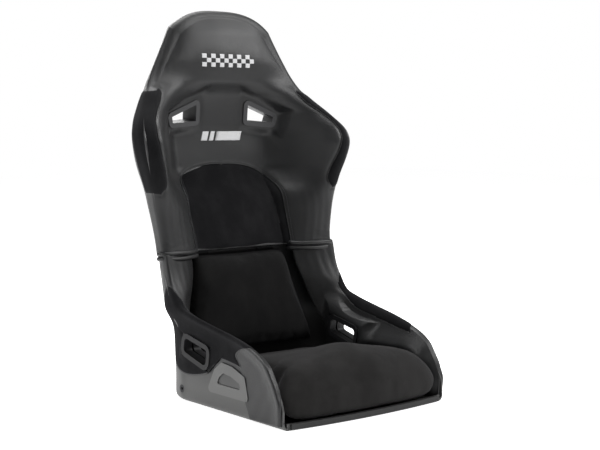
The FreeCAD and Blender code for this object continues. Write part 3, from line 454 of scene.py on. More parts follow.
    def over_edge(self, u: Array, rim: Array, crown: Array, step: Array) -> Array:
        """The cover's way over the edge: a quarter roll outwards, one rearwards, then a tail.

        Args:
            u: share of the half-width at the border, -1 to 1, as (count,).
            rim: height on the rim, as (count,).
            crown: 0 below the crown and 1 on it, as (count,).
            step: 0 to 1 on the first roll, 1 to 2 on the second, 2 to 3 on the tail, as (steps,).

        Returns:
            Array (count, steps, 3).
        """
        start = self.inner_border(u, rim, crown)
        edge = np.stack([u * (self.half_width(rim) + self.cover), start[..., 1] + self.roll_back(rim),
                         rim + self.rise(rim) * self.lift(u) + self.cover * crown], axis=-1)
        flat = (start - edge) * np.array([1, 0, 1])
        inwards = unit(flat)
        first = np.clip(step, 0, 1)[None, :, None] * np.pi / 2
        turned = (start[:, None] - flat[:, None] * np.sin(first)
                  + np.array([0, 1, 0]) * self.roll_back(rim)[:, None, None] * (1 - np.cos(first)))
        second = np.clip(step - 1, 0, 1)[None, :, None] * np.pi / 2
        tail = np.clip(step - 2, 0, 1)[None, :, None]
        reach = (self.tail_in(rim)[:, None, None] * (1 - np.cos(second))
                 + (self.tail_end(rim) - self.tail_in(rim))[:, None, None] * tail)
        spot = edge[:, None] + inwards[:, None] * reach
        inside = self.half_width(rim) / (self.half_width(rim) + self.cover)
        face = self.shell_y(spot[..., 0] * inside[:, None], spot[..., 2]) + self.cover
        end = np.maximum(face, edge[:, None, 1])
        depth = mix(edge[:, None, 1], end, np.sin(second[..., 0]))
        spot[..., 1] = depth
        return np.where((step <= 1)[None, :, None], turned, spot)

    def front_normal(self, x: Array, z: Array) -> Array:
        """Outward normal of the front: its slopes in x and z, with -1 along y."""
        gap = 0.0005
        slope_x = (self.front_y(x + gap, z) - self.front_y(x - gap, z)) / (2 * gap)
        slope_z = (self.front_y(x, z + gap) - self.front_y(x, z - gap)) / (2 * gap)
        return unit(np.stack([slope_x, -np.ones_like(slope_x), slope_z], axis=-1))

    def on_front(self, x: Array, z: Array, proud: Array | float = 0.0) -> Array:
        """Points of the front over (x, z), raised along the normal."""
        spot = np.stack([x, self.front_y(x, z), z], axis=-1)
        return spot + self.front_normal(x, z) * np.asarray(proud)[..., None]


@dataclass(frozen=True)
class Slot:
    """Framed strap slot: a four-cornered outline in a plane of its own."""

    origin: tuple[float, float, float]
    across: tuple[float, float, float]
    up: tuple[float, float, float]
    corners: tuple[tuple[float, float], ...]

    @classmethod
    def harness(cls, side: Side) -> "Slot":
        """Shoulder-harness slot: turned 7 degrees towards the middle and tilted 5 degrees."""
        s = side.value
        turn, tilt = math.radians(7), math.radians(5)
        across = (math.cos(turn), -s * math.sin(turn), 0.0)
        up = (-s * math.sin(turn) * math.sin(tilt), -math.cos(turn) * math.sin(tilt), math.cos(tilt))
        corners = tuple((s * a * MM, b * MM) for a, b in ((-46, 38), (-47, -27), (43, -34), (52, -1)))
        return cls((s * 0.112, 0.186, 0.641), across, up, corners)

    @classmethod
    def lap(cls, x: float) -> "Slot":
        """Lap-belt slot in the plane at x: its own axes are the seat's y and z."""
        corners = tuple((a * MM, b * MM) for a, b in ((49, 39), (57, -13), (-47, -41), (-57, 17)))
        return cls((x, -0.037, 0.121), (0.0, 1.0, 0.0), (0.0, 0.0, 1.0), corners)

    def local(self, points: Array) -> Array:
        """Places in the slot's axes: across, up, and out of its plane (towards -Y or +X)."""
        axes = np.array([self.across, self.up, np.cross(self.across, self.up)])
        return (points - np.array(self.origin)) @ axes.T

    def reach(self, points: Array) -> Array:
        """Distance outside the outline, negative inside: the largest of the four edges' distances."""
        flat = self.local(points)[..., :2]
        corners = np.array(self.corners)
        edges = np.roll(corners, -1, axis=0) - corners
        normals = unit(np.stack([edges[:, 1], -edges[:, 0]], axis=-1))
        outward = np.sign((normals * (corners - corners.mean(axis=0))).sum(axis=1))
        normals = normals * outward[:, None]
        return ((flat[..., None, :] - corners) * normals).sum(axis=-1).max(axis=-1)

    def sink(self, points: Array, height: float, fade: float = 0.024) -> Array:
        """Moves points near the slot onto its plane, fading out round it.

        Args:
            points: array (..., 3).
            height: how far out of the plane the cover ends up under the frame.
            fade: width of the fading ring.

        Returns:
            The moved points.
        """
        weight = 1 - smoothstep(self.reach(points), 0.0, fade)
        out = np.cross(self.across, self.up)
        shift = (height - self.local(points)[..., 2]) * weight
        return points + shift[..., None] * out


# ------------------------------------------------------------------ finishes

class Signal:
    """Output socket of a node, on which ordinary arithmetic makes Math nodes."""

    def __init__(self, tree: bpy.types.NodeTree, socket: bpy.types.NodeSocket) -> None:
        """Wraps a socket of a node tree."""
        self.tree = tree
        self.socket = socket

    def math(self, kind: str, *others: "Signal | float", first: bool = True) -> "Signal":
        """Math node of a kind, with this signal as its first (or last) value."""
        node = self.tree.nodes.new("ShaderNodeMath")
        node.operation = kind
        values = [self, *others] if first else [*others, self]
        for slot, value in zip(node.inputs, values):
            if isinstance(value, Signal):
                self.tree.links.new(value.socket, slot)
            else:
                slot.default_value = value
        return Signal(self.tree, node.outputs[0])

    def __add__(self, other: "Signal | float") -> "Signal":
        """Sum."""
        return self.math("ADD", other)

    __radd__ = __add__

    def __sub__(self, other: "Signal | float") -> "Signal":
        """Difference."""
        return self.math("SUBTRACT", other)

    def __rsub__(self, other: float) -> "Signal":
        """Difference from a number."""
        return self.math("SUBTRACT", other, first=False)

    def __mul__(self, other: "Signal | float") -> "Signal":
        """Product."""
        return self.math("MULTIPLY", other)

    __rmul__ = __mul__

    def __truediv__(self, other: "Signal | float") -> "Signal":
        """Quotient."""
        return self.math("DIVIDE", other)

    def __rtruediv__(self, other: float) -> "Signal":
        """Number divided by the signal."""
        return self.math("DIVIDE", other, first=False)

    def __pow__(self, other: "Signal | float") -> "Signal":
        """Power."""
        return self.math("POWER", other)

    def ramp(self, low: float, high: float) -> "Signal":
        """0 below `low`, 1 above `high`, smooth between them; `low` may be the larger one."""
        node = self.tree.nodes.new("ShaderNodeMapRange")
        node.interpolation_type = "SMOOTHSTEP"
        swapped = low > high
        node.inputs["From Min"].default_value = min(low, high)
        node.inputs["From Max"].default_value = max(low, high)
        node.inputs["To Min"].default_value = 1.0 if swapped else 0.0
        node.inputs["To Max"].default_value = 0.0 if swapped else 1.0
        self.tree.links.new(self.socket, node.inputs["Value"])
        return Signal(self.tree, node.outputs["Result"])


class Workshop:
    """Builds one node material on a Principled shader, on Object coordinates."""

    def __init__(self, name: str) -> None:
        """Starts an empty material with its shader and its coordinates."""
        self.material = bpy.data.materials.new(name)
        self.material.use_nodes = True
        self.tree = self.material.node_tree
        self.shader = next(n for n in self.tree.nodes if n.type == "BSDF_PRINCIPLED")
        self.place = Signal(self.tree, self.node("ShaderNodeTexCoord").outputs["Object"])

    def node(self, kind: str, settings: Optional[dict] = None,
             inputs: Optional[dict] = None) -> bpy.types.Node:
        """New node with its settings and its sockets filled in.

        Args:
            kind: Blender's name for the node type.
            settings: attributes of the node.
            inputs: socket name or number to value or Signal.

        Returns:
            The node.
        """
        node = self.tree.nodes.new(kind)
        for key, value in (settings or {}).items():
            setattr(node, key, value)
        for key, value in (inputs or {}).items():
            if isinstance(value, Signal):
                self.tree.links.new(value.socket, node.inputs[key])
            else:
                node.inputs[key].default_value = value
        return node

    def noise(self, scale: float, detail: float = 2.0, rough: float = 0.5,
              stretch: Optional[tuple[float, float, float]] = None) -> Signal:
        """Cloudy noise, 0 to 1, `scale` per metre; `stretch` scales the three axes."""
        vector = self.place
        if stretch:
            moved = self.node("ShaderNodeMapping", None, {"Vector": vector, "Scale": stretch})
            vector = Signal(self.tree, moved.outputs["Vector"])
        made = self.node("ShaderNodeTexNoise", None, {
            "Vector": vector, "Scale": scale, "Detail": detail, "Roughness": rough})
        return Signal(self.tree, made.outputs["Fac"])

    def cells(self, scale: float, edge: bool = True) -> Signal:
        """Distance to the nearest cell's edge or centre, for grain."""
        made = self.node("ShaderNodeTexVoronoi",
                         {"feature": "DISTANCE_TO_EDGE" if edge else "F1"},
                         {"Vector": self.place, "Scale": scale})
        return Signal(self.tree, made.outputs["Distance"])

    def axis(self, letter: str) -> Signal:
        """One Object coordinate, in metres."""
        split = self.node("ShaderNodeSeparateXYZ", None, {"Vector": self.place})
        return Signal(self.tree, split.outputs[letter])

    def blend(self, a: Sequence[float] | Signal, b: Sequence[float] | Signal, share: Signal) -> Signal:
        """Colour blend from a to b."""
        node = self.tree.nodes.new("ShaderNodeMix")
        node.data_type = "RGBA"
        self.tree.links.new(share.socket, node.inputs[0])
        for slot, value in ((node.inputs[6], a), (node.inputs[7], b)):
            if isinstance(value, Signal):
                self.tree.links.new(value.socket, slot)
            else:
                slot.default_value = (*value, 1.0)
        return Signal(self.tree, node.outputs[2])

    def bump(self, height: Signal, depth: float, strength: float = 1.0) -> Signal:
        """Normal that follows a height pattern `depth` metres deep."""
        node = self.node("ShaderNodeBump", None, {
            "Height": height, "Distance": depth, "Strength": strength})
        return Signal(self.tree, node.outputs["Normal"])

    def fixed(self, **values: float | tuple) -> None:
        """Sets constants on the shader; underscores stand for spaces in socket names."""
        for key, value in values.items():
            self.shader.inputs[key.replace("_", " ")].default_value = value

    def drive(self, socket: str, signal: Signal) -> None:
        """Feeds a varying signal into a shader socket."""
        self.tree.links.new(signal.socket, self.shader.inputs[socket])


@dataclass(frozen=True)
class Leather:
    """Satin artificial leather: fine pebble grain, soft creases, duller where it is handled."""

    name: str = "satin_leather"
    dark: tuple[float, float, float] = (0.0052, 0.0053, 0.0058)
    light: tuple[float, float, float] = (0.0085, 0.0087, 0.0094)
    rough: float = 0.44
    grain: float = 950.0

    def build(self) -> bpy.types.Material:
        """Builds the material."""
        shop = Workshop(self.name)
        cloud = shop.noise(9.0, 3.0, 0.55)
        pebble = shop.cells(self.grain).ramp(0.0, 0.28)
        crease = shop.noise(34.0, 4.0, 0.6, (1.0, 1.0, 0.45))
        shop.drive("Base Color", shop.blend(self.dark, self.light, cloud.ramp(0.3, 0.75)))
        shop.drive("Roughness", self.rough - 0.05 + cloud * 0.10 - pebble * 0.04)
        height = pebble * 0.14 + crease * 1.1 + shop.noise(420.0, 2.0) * 0.12
        shop.drive("Normal", shop.bump(height, 0.0008, 0.55))
        shop.fixed(Specular_IOR_Level=0.40, Sheen_Weight=0.02, Sheen_Roughness=0.5)
        return shop.material


@dataclass(frozen=True)
class Suede:
    """Brushed microfibre suede: matt, mottled by its nap, with a faint sheen at the edges."""

    name: str = "black_suede"
    dark: tuple[float, float, float] = (0.0052, 0.0052, 0.0058)
    light: tuple[float, float, float] = (0.0105, 0.0105, 0.0112)
    sheen: float = 0.06

    def build(self) -> bpy.types.Material:
        """Builds the material."""
        shop = Workshop(self.name)
        nap = shop.noise(16.0, 5.0, 0.62, (1.0, 1.0, 0.6))
        fibre = shop.noise(1500.0, 2.0, 0.7)
        shop.drive("Base Color", shop.blend(self.dark, self.light, nap.ramp(0.32, 0.7)))
        shop.drive("Roughness", 0.9 + fibre * 0.1)
        shop.drive("Normal", shop.bump(fibre * 0.5 + shop.noise(260.0, 3.0) * 0.6, 0.0005, 0.5))
        shop.fixed(Specular_IOR_Level=0.07, Sheen_Weight=self.sheen, Sheen_Roughness=0.45,
                   Sheen_Tint=(0.6, 0.6, 0.63, 1.0))
        return shop.material


@dataclass(frozen=True)
class Moulding:
    """Moulded plastic with a fine spark texture; paler towards the foot as painted reflection of the white
    floor, and paler on the raised boss round the lap slots as painted reflection.
    """

    name: str = "shell_plastic"
    top: tuple[float, float, float] = (0.0075, 0.0075, 0.0082)
    # Colour at the foot: painted reflection of the white floor on the lower sides.
    foot: tuple[float, float, float] = (0.0075, 0.0075, 0.0082)
    # Colour on the raised boss round the lap slot: painted reflection.
    boss_reflection: tuple[float, float, float] = (0.0075, 0.0075, 0.0082)
    fade_from: float = 0.10
    fade_to: float = 0.035
    rough: float = 0.38
    gloss: float = 0.5

    def build(self) -> bpy.types.Material:
        """Builds the material."""
        shop = Workshop(self.name)
        height = shop.axis("Z") + (shop.noise(14.0, 2.0) - 0.5) * 0.016
        low = height.ramp(self.fade_from, self.fade_to)
        spark = shop.noise(1300.0, 2.0, 0.6)
        cloud = shop.noise(7.0, 3.0)
        # Paler towards the foot: painted reflection of the white floor.
        colour = shop.blend(self.top, self.foot, low)
        # Paler on the raised boss round the lap slot: painted reflection.
        raised = shop.axis("X").math("ABSOLUTE").ramp(0.2306, 0.2318) * height.ramp(0.135, 0.12)
        colour = shop.blend(colour, self.boss_reflection, raised * 0.8)
        shop.drive("Base Color", shop.blend(colour, self.top, cloud.ramp(0.55, 0.95) * 0.35))
        shop.drive("Roughness", self.rough + cloud * 0.10 + spark * 0.05)
        shop.drive("Normal", shop.bump(spark, 0.00016, 0.6))
        shop.fixed(Specular_IOR_Level=self.gloss)
        return shop.material


@dataclass(frozen=True)
class Steel:
    """Plated or blackened steel with faint drawing lines."""

    name: str = "plated_steel"
    colour: tuple[float, float, float] = (0.55, 0.56, 0.58)
    rough: float = 0.3

    def build(self) -> bpy.types.Material:
        """Builds the material."""
        shop = Workshop(self.name)
        lines = shop.noise(900.0, 2.0, 0.5, (1.0, 1.0, 0.08))
        dull = tuple(c * 0.7 for c in self.colour)
        shop.drive("Base Color", shop.blend(dull, self.colour, lines.ramp(0.3, 0.7)))
        shop.drive("Roughness", self.rough + lines * 0.12)
        shop.drive("Normal", shop.bump(lines, 0.00005, 0.4))
        shop.fixed(Metallic=1.0)
        return shop.material


@dataclass(frozen=True)
class Tape:
    """Hook or loop tape: rows of tiny tufts."""

    name: str = "hook_and_loop_tape"
    colour: tuple[float, float, float] = (0.009, 0.009, 0.009)

    def build(self) -> bpy.types.Material:
        """Builds the material."""
        shop = Workshop(self.name)
        tufts = shop.cells(620.0, edge=False).ramp(0.0, 0.7)
        pale = tuple(c * 3 for c in self.colour)
        shop.drive("Base Color", shop.blend(pale, self.colour, tufts))
        shop.drive("Roughness", 0.85 + tufts * 0.1)
        shop.drive("Normal", shop.bump(1.0 - tufts, 0.0006, 0.8))
        return shop.material


@dataclass(frozen=True)
class Thread:
    """Twisted sewing thread or a woven badge, with a fine slanting twill."""

    name: str = "grey_thread"
    colour: tuple[float, float, float] = (0.045, 0.045, 0.048)
    twill: float = 1900.0

    def build(self) -> bpy.types.Material:
        """Builds the material."""
        shop = Workshop(self.name)
        slant = ((shop.axis("X") + shop.axis("Z")) * self.twill).math("SINE") * 0.5 + 0.5
        deep = tuple(c * 0.72 for c in self.colour)
        shop.drive("Base Color", shop.blend(deep, self.colour, slant))
        shop.drive("Roughness", 0.5 + slant * 0.12)
        shop.drive("Normal", shop.bump(slant, 0.00018, 0.5))
        shop.fixed(Sheen_Weight=0.1)
        return shop.material


@dataclass
class Finishes:
    """Every finish of the seat, built once."""

    leather: bpy.types.Material = field(default_factory=lambda: Leather().build())
    suede: bpy.types.Material = field(default_factory=lambda: Suede().build())
    pad_suede: bpy.types.Material = field(default_factory=lambda: Suede(
        "pad_suede", (0.0068, 0.0067, 0.0068), (0.0105, 0.0103, 0.0102), 0.08).build())
    cushion_suede: bpy.types.Material = field(default_factory=lambda: Suede(
        "cushion_suede", (0.0115, 0.0110, 0.0107), (0.0178, 0.0172, 0.0168), 0.10).build())
    # The shell's pale foot colour is painted reflection of the white floor, and its pale boss colour is
    # painted reflection.
    shell: bpy.types.Material = field(default_factory=lambda: Moulding(
        foot=(0.042, 0.042, 0.041), boss_reflection=(0.085, 0.085, 0.083)).build())
    frame: bpy.types.Material = field(default_factory=lambda: Moulding(
        "frame_plastic", (0.034, 0.034, 0.036), (0.034, 0.034, 0.036), rough=0.4, gloss=0.4).build())
    dark_frame: bpy.types.Material = field(default_factory=lambda: Moulding(
        "dark_frame_plastic", (0.008, 0.008, 0.009), (0.008, 0.008, 0.009), rough=0.5, gloss=0.3).build())
    rubber: bpy.types.Material = field(default_factory=lambda: Moulding(
        "trim_rubber", (0.006, 0.006, 0.006), (0.006, 0.006, 0.006), rough=0.6).build())
    black_steel: bpy.types.Material = field(default_factory=lambda: Steel(
        "black_steel", (0.04, 0.04, 0.042), 0.42).build())
    steel: bpy.types.Material = field(default_factory=lambda: Steel().build())
    tape: bpy.types.Material = field(default_factory=lambda: Tape().build())
    thread: bpy.types.Material = field(default_factory=lambda: Thread().build())
    badge: bpy.types.Material = field(default_factory=lambda: Thread(
        "silver_badge", (0.62, 0.62, 0.63), 2600.0).build())


def dress(piece: bpy.types.Object, finish: bpy.types.Material, body: str, slot: str,
          *stands_for: str) -> bpy.types.Object:
    """Gives a new piece its finish and its body, and hides the CAD nodes that it stands for.

    Args:
        piece: the new mesh object.
        finish: its material.
        body: CAD body that it moves with.
        slot: not used.
        stands_for: CAD nodes that it replaces.

    Returns:
        The piece.
    """
    piece.data.materials.clear()
    piece.data.materials.append(finish)
    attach(piece, body)
    if stands_for:
        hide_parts(*stands_for)
    log.info("%s: %d faces, rides on %s", piece.name, len(piece.data.polygons), body)
    return piece


# ------------------------------------------------------------------ back half

@dataclass
class BackUpholstery:
    """Sewn upholstery of the back half: leather cover, arched panel, shoulder panels, badges."""

    form: SeatForm
    finishes: Finishes
    across: int = 171
    up: int = 187
    panel_half: float = 0.141
    panel_foot: float = 0.3222
    panel_spring: float = 0.446
    panel_rise: float = 0.076
    seam_depth: float = 0.0022
    seam_width: float = 0.0055
    shoulder_low: float = 0.4605
    shoulder_high: float = 0.7005

    def __post_init__(self) -> None:
        """Works out the two seam lines and the slots."""
        self.slots = [Slot.harness(side) for side in Side]
        self.shoulder_x = Curve.mm((461, 262), (466, 246), (486, 235.5), (515, 243), (550, 258),
                                   (590, 268), (618, 262), (646, 240), (670, 215), (699, 195))
        self.arch = self.arch_line(np.linspace(0, 1, 181))
        heights = np.linspace(self.shoulder_low, self.shoulder_high, 90)
        self.shoulder = np.stack([self.shoulder_edge(heights), heights], axis=-1)

    def arch_line(self, share: Array) -> Array:
        """(x, z) round the centre panel: up one side, over a superellipse, down the other."""
        straight = self.panel_spring - self.panel_foot
        turn = np.pi * np.clip((share - 0.22) / 0.56, 0, 1)
        x = -self.panel_half * np.sign(np.cos(turn)) * np.abs(np.cos(turn)) ** (2 / 2.5)
        z = self.panel_spring + self.panel_rise * np.abs(np.sin(turn)) ** (2 / 2.5)
        leg = np.clip(np.maximum(0.22 - share, share - 0.78) / 0.22, 0, 1)
        return np.stack([x, z - straight * leg], axis=-1)

    def shoulder_edge(self, z: Array) -> Array:
        """Distance of the shoulder seam from the centre plane, turning out to the rim at its ends."""
        middle = (self.shoulder_low + self.shoulder_high) / 2
        half = (self.shoulder_high - self.shoulder_low) / 2
        round_off = 0.013
        over = np.clip((np.abs(z - middle) - (half - round_off)) / round_off, 0, 1)
        turn = 1 - np.sqrt(1 - over ** 2)
        border = self.form.half_width(z) - self.form.roll_in(z)
        return mix(self.shoulder_x(z), border, turn)

    def seam_gap(self, x: Array, z: Array) -> Array:
        """Distance in the x-z plane to the nearest seam."""
        spot = np.stack([np.abs(x), z], axis=-1)
        lines = np.concatenate([self.arch[self.arch[:, 0] > 0], self.shoulder])
        flat = spot.reshape(-1, 2)
        gap = np.full(len(flat), 1.0)
        for chunk in np.array_split(lines, 6):
            gap = np.minimum(gap, np.linalg.norm(flat[:, None] - chunk[None], axis=2).min(axis=1))
        return gap.reshape(x.shape)

    def creases(self, x: Array, z: Array) -> Array:
        """Soft pulls in the leather: low waves across the waist columns and round the shoulders."""
        column = smoothstep(np.abs(x), 0.15, 0.19) * (1 - smoothstep(z, 0.42, 0.50))
        fold = np.sin(z * 310 + np.abs(x) * 60 + 1.3 * np.sin(z * 90)) * np.exp(-((z - 0.345) / 0.03) ** 2)
        run = np.sin(np.abs(x) * 330 + 2.2 * np.sin(z * 26)) * 0.6
        broad = np.sin(x * 41 + z * 23) * np.sin(z * 37 - x * 19)
        return column * (0.0002 * fold + 0.0004 * run) + 0.0007 * broad

    def finished(self, points: Array) -> Array:
        """Front points after seams, creases and the pockets of the slot frames.

        Args:
            points: array (..., 3) on the plain front.

        Returns:
            The moved points.
        """
        x, z = points[..., 0], points[..., 2]
        gap = self.seam_gap(x, z)
        sunk = self.seam_depth * np.exp(-(gap / self.seam_width) ** 2)
        proud = self.creases(x, z) - sunk
        points = points + self.form.front_normal(x, z) * proud[..., None]
        for slot in self.slots:
            points = slot.sink(points, 0.0012)
        return points

    def build_cover(self) -> bpy.types.Object:
        """Leather cover: the front grid, then its border carried over the edge as one strip."""
        form = self.form
        u = np.sin(np.linspace(-1, 1, self.across) * 1.25) / math.sin(1.25)
        level = np.linspace(0, 1, self.up)
        crown = level ** 10
        rim = form.waist + (form.rim_top - form.waist) * level
        shape = (self.across, self.up)
        grid = form.inner_border(np.broadcast_to(u[:, None], shape), np.broadcast_to(rim, shape),
                                 np.broadcast_to(crown, shape))
        grid = self.finished(grid)
        index = np.arange(grid.shape[0] * grid.shape[1]).reshape(shape)
        border = np.concatenate([index[0], index[1:, -1], index[-1, -2::-1]])
        border_u = np.concatenate([np.full(self.up, -1.0), u[1:], np.full(self.up - 1, 1.0)])
        border_rim = np.concatenate([rim, np.full(self.across - 1, form.rim_top), rim[-2::-1]])
        border_crown = np.concatenate([crown, np.ones(self.across - 1), crown[-2::-1]])
        steps = np.concatenate([np.linspace(0, 1, 10)[1:], np.linspace(1, 2, 8)[1:],
                                np.linspace(2, 3, 5)[1:]])
        strip = form.over_edge(border_u, border_rim, border_crown, steps)
        shift = grid.reshape(-1, 3)[border] - form.over_edge(
            border_u, border_rim, border_crown, np.zeros(1))[:, 0]
        strip = strip + shift[:, None] * (1 - np.clip(steps, 0, 1))[None, :, None]
        points = np.concatenate([grid.reshape(-1, 3), strip.reshape(-1, 3)])
        quads = grid_quads(*shape)
        middle = points[quads].mean(axis=1)
        shut = np.min([slot.reach(middle) for slot in self.slots], axis=0) > -SLOT_OVERLAP
        count = len(border)
        lines = np.concatenate([border[:, None], grid.shape[0] * grid.shape[1]
                                + np.arange(count * len(steps)).reshape(count, -1)], axis=1)
        wrap = np.stack([lines[:-1, :-1], lines[1:, :-1], lines[1:, 1:], lines[:-1, 1:]], axis=-1)
        faces = np.concatenate([quads[shut], wrap.reshape(-1, 4)])
        return thicken(make_object("back_leather_cover", points, faces, (0, -1, 0)), 0.0012)

    def puff(self, gap: Array, height: float, soft: float) -> Array:
        """Height of a sewn-in panel over the leather: under it at the seam, full `soft` inside."""
        return height - (height + 0.0026) * np.exp(-(gap / soft) ** 1.3)

    def build_centre_panel(self) -> bpy.types.Object:
        """Arched suede panel: columns from the foot to the arch, puffed up from its seam."""
        u = np.sin(np.linspace(-1, 1, 91) * np.pi / 2)
        turn = np.arccos(np.clip(np.abs(u), 0, 1) ** (2.5 / 2))
        top = self.panel_spring + self.panel_rise * np.sin(turn) ** (2 / 2.5)
        v = np.linspace(0, 1, 81)
        x = np.broadcast_to((self.panel_half * u)[:, None], (91, 81))
        z = self.panel_foot + v[None] * (top - self.panel_foot)[:, None]
        edge = np.linalg.norm(np.stack([x, z], -1).reshape(-1, 1, 2)
                              - self.arch_closed()[None], axis=2).min(axis=1).reshape(x.shape)
        height = self.puff(edge, 0.0022, 0.006)
        quilt = 0.0006 * np.sin(x * 31) * np.sin(z * 27 + 1.0)
        points = self.form.on_front(x, z, height + quilt)
        piece = make_object("centre_suede_panel", points, grid_quads(91, 81), (0, -1, 0))
        return thicken(piece, 0.0012)

    def arch_closed(self) -> Array:
        """The panel's outline with its foot, as (x, z) points."""
        foot = np.stack([np.linspace(self.panel_half, -self.panel_half, 60),
                         np.full(60, self.panel_foot)], axis=-1)
        return np.concatenate([self.arch, foot])

    def shoulder_grid(self, side: Side, lift: float) -> Array:
        """Suede shoulder surface: from the seam out to the border, then over the edge.

        Args:
            side: which side.
            lift: height over the leather once clear of the seam.

        Returns:
            Array (rows, columns, 3).
        """
        s = side.value
        form = self.form
        spread = np.sin(np.linspace(-1, 1, 72) * np.pi / 2)
        z = mix(self.shoulder_low, self.shoulder_high, (spread + 1) / 2)
        border = form.half_width(z) - form.roll_in(z)
        start = np.minimum(self.shoulder_edge(z), border - 0.0008)
        share = np.linspace(0, 1, 34)
        x = s * mix(start[:, None], border[:, None], share[None])
        rows = np.broadcast_to(z[:, None], x.shape)
        ends = np.minimum(z - self.shoulder_low, self.shoulder_high - z)[:, None]
        gap = np.minimum(np.abs(x) - start[:, None], ends)
        front = form.on_front(x, rows, self.puff(np.maximum(gap, 0), lift, 0.005))
        steps = np.concatenate([np.linspace(0, 1, 12)[1:], np.linspace(1, 2, 7)[1:],
                                np.linspace(2, 2.7, 4)[1:]])
        rim = form.rim_level(s * border, z)
        back = form.over_edge(np.full(72, float(s)), rim, np.zeros(72), steps)
        outward = np.stack([s * np.sin(np.clip(steps, 0, 1) * np.pi / 2),
                            -np.cos(np.clip(steps, 0, 1) * np.pi / 2), 0 * steps], axis=-1)
        height = self.puff(np.maximum(ends, 0), lift, 0.005) * (1 - 0.5 * smoothstep(steps, 2.0, 2.7))
        back = back + outward[None] * height[..., None]
        return np.concatenate([front, back], axis=1)

    def build_shoulder(self, side: Side) -> bpy.types.Object:
        """Suede shoulder panel of one side."""
        grid = self.shoulder_grid(side, 0.0028)
        piece = make_object(f"shoulder_suede_{side.word}", grid, grid_quads(*grid.shape[:2]),
                            (side.value * 0.3, -1, 0))
        return thicken(piece, 0.0010)

    def build_trim(self) -> list[bpy.types.Object]:
        """Welt cords and stitch rows along the seams."""
        form = self.form
        inner = resample(np.concatenate([self.arch, 0 * self.arch[:, :1]], axis=1)[None],
                         np.linspace(0.005, 0.995, 260))[0]
        x, z = inner[:, 0], inner[:, 1]
        cords = [tube(form.on_front(x, z, -0.0006), form.front_normal(x, z), 0.0011)]
        rows = [self.offset_row(self.arch, 0.0052)]
        for side in Side:
            line = self.shoulder[4:-4] * np.array([side.value, 1])
            normals = form.front_normal(line[:, 0], line[:, 1])
            cords.append(tube(form.on_front(line[:, 0], line[:, 1], -0.0007), normals, 0.0010))
            rows.append(self.offset_row(line, -side.value * 0.005))
        cord = make_object("back_welt_cords", *join(cords))
        thread = make_object("back_stitching", *join(rows))
        return [cord, thread]

    def offset_row(self, line: Array, distance: float) -> tuple[Array, Array]:
        """Stitches beside a seam line, `distance` to its left."""
        along = unit(np.gradient(line, axis=0))
        beside = line + np.stack([-along[:, 1], along[:, 0]], axis=-1) * distance
        x, z = beside[:, 0], beside[:, 1]
        gap = self.seam_gap(x, z)
        sunk = -self.seam_depth * np.exp(-(gap / self.seam_width) ** 2) + self.creases(x, z)
        return stitches(self.form.on_front(x, z, sunk), self.form.front_normal(x, z))

    def badge(self, name: str, outlines: Sequence[Sequence[tuple[float, float]]]) -> bpy.types.Object:
        """Woven badge laid on the leather: four-cornered patches, 0.5 mm proud.

        Args:
            name: name of the piece.
            outlines: four corners (x, z) of each patch, in millimetres.

        Returns:
            The new object.
        """
        parts = []
        a = np.linspace(0, 1, 9)
        for corners in outlines:
            p = np.array(corners) * MM
            spot = ((1 - a)[:, None, None] * ((1 - a)[None, :, None] * p[0] + a[None, :, None] * p[3])
                    + a[:, None, None] * ((1 - a)[None, :, None] * p[1] + a[None, :, None] * p[2]))
            x, z = spot[..., 0], spot[..., 1]
            points = self.form.on_front(x, z, self.creases(x, z) + 0.0004)
            for slot in self.slots:
                points = slot.sink(points, 0.0016)
            parts.append((points.reshape(-1, 3), grid_quads(9, 9)))
        return thicken(make_object(name, *join(parts), aim=(0, -1, 0)), 0.0006)

    def build_badges(self) -> list[bpy.types.Object]:
        """Two plain decorations: a chequer band on the head and slanting bars below the slots."""
        squares = []
        for row in range(3):
            for column in range(-6, 6):
                if (row + column) % 2 == 0:
                    x, z = column * 12.6, 752 + row * 10.2
                    squares.append([(x, z), (x + 12.6, z), (x + 12.6, z + 10.2), (x, z + 10.2)])
        bars = []
        for left, right in ((-58, -40), (-34, -22), (-16, 58)):
            bars.append([(left, 577), (right, 577), (right + 7, 599), (left + 7, 599)])
        return [self.badge("head_chequer_badge", squares), self.badge("slanted_bar_badge", bars)]

    def build(self) -> None:
        """Builds and dresses every piece of the back's upholstery."""
        looks = self.finishes
        cover = dress(self.build_cover(), looks.leather, "root", "leather",
                      "back_cover", "back_foam", "head_foam")
        panel = dress(self.build_centre_panel(), looks.suede, "root", "suede", "back_centre_panel")
        for side in Side:
            piece = dress(self.build_shoulder(side), looks.suede, "root", "suede",
                          f"shoulder_panel_{side.word}")
        cord, thread = self.build_trim()
        dress(cord, looks.leather, "root", "leather")
        dress(thread, looks.thread, "root", "leather")
        for badge in self.build_badges():
            dress(badge, looks.badge, "root", "leather")


# ------------------------------------------------------------------ waist rolls

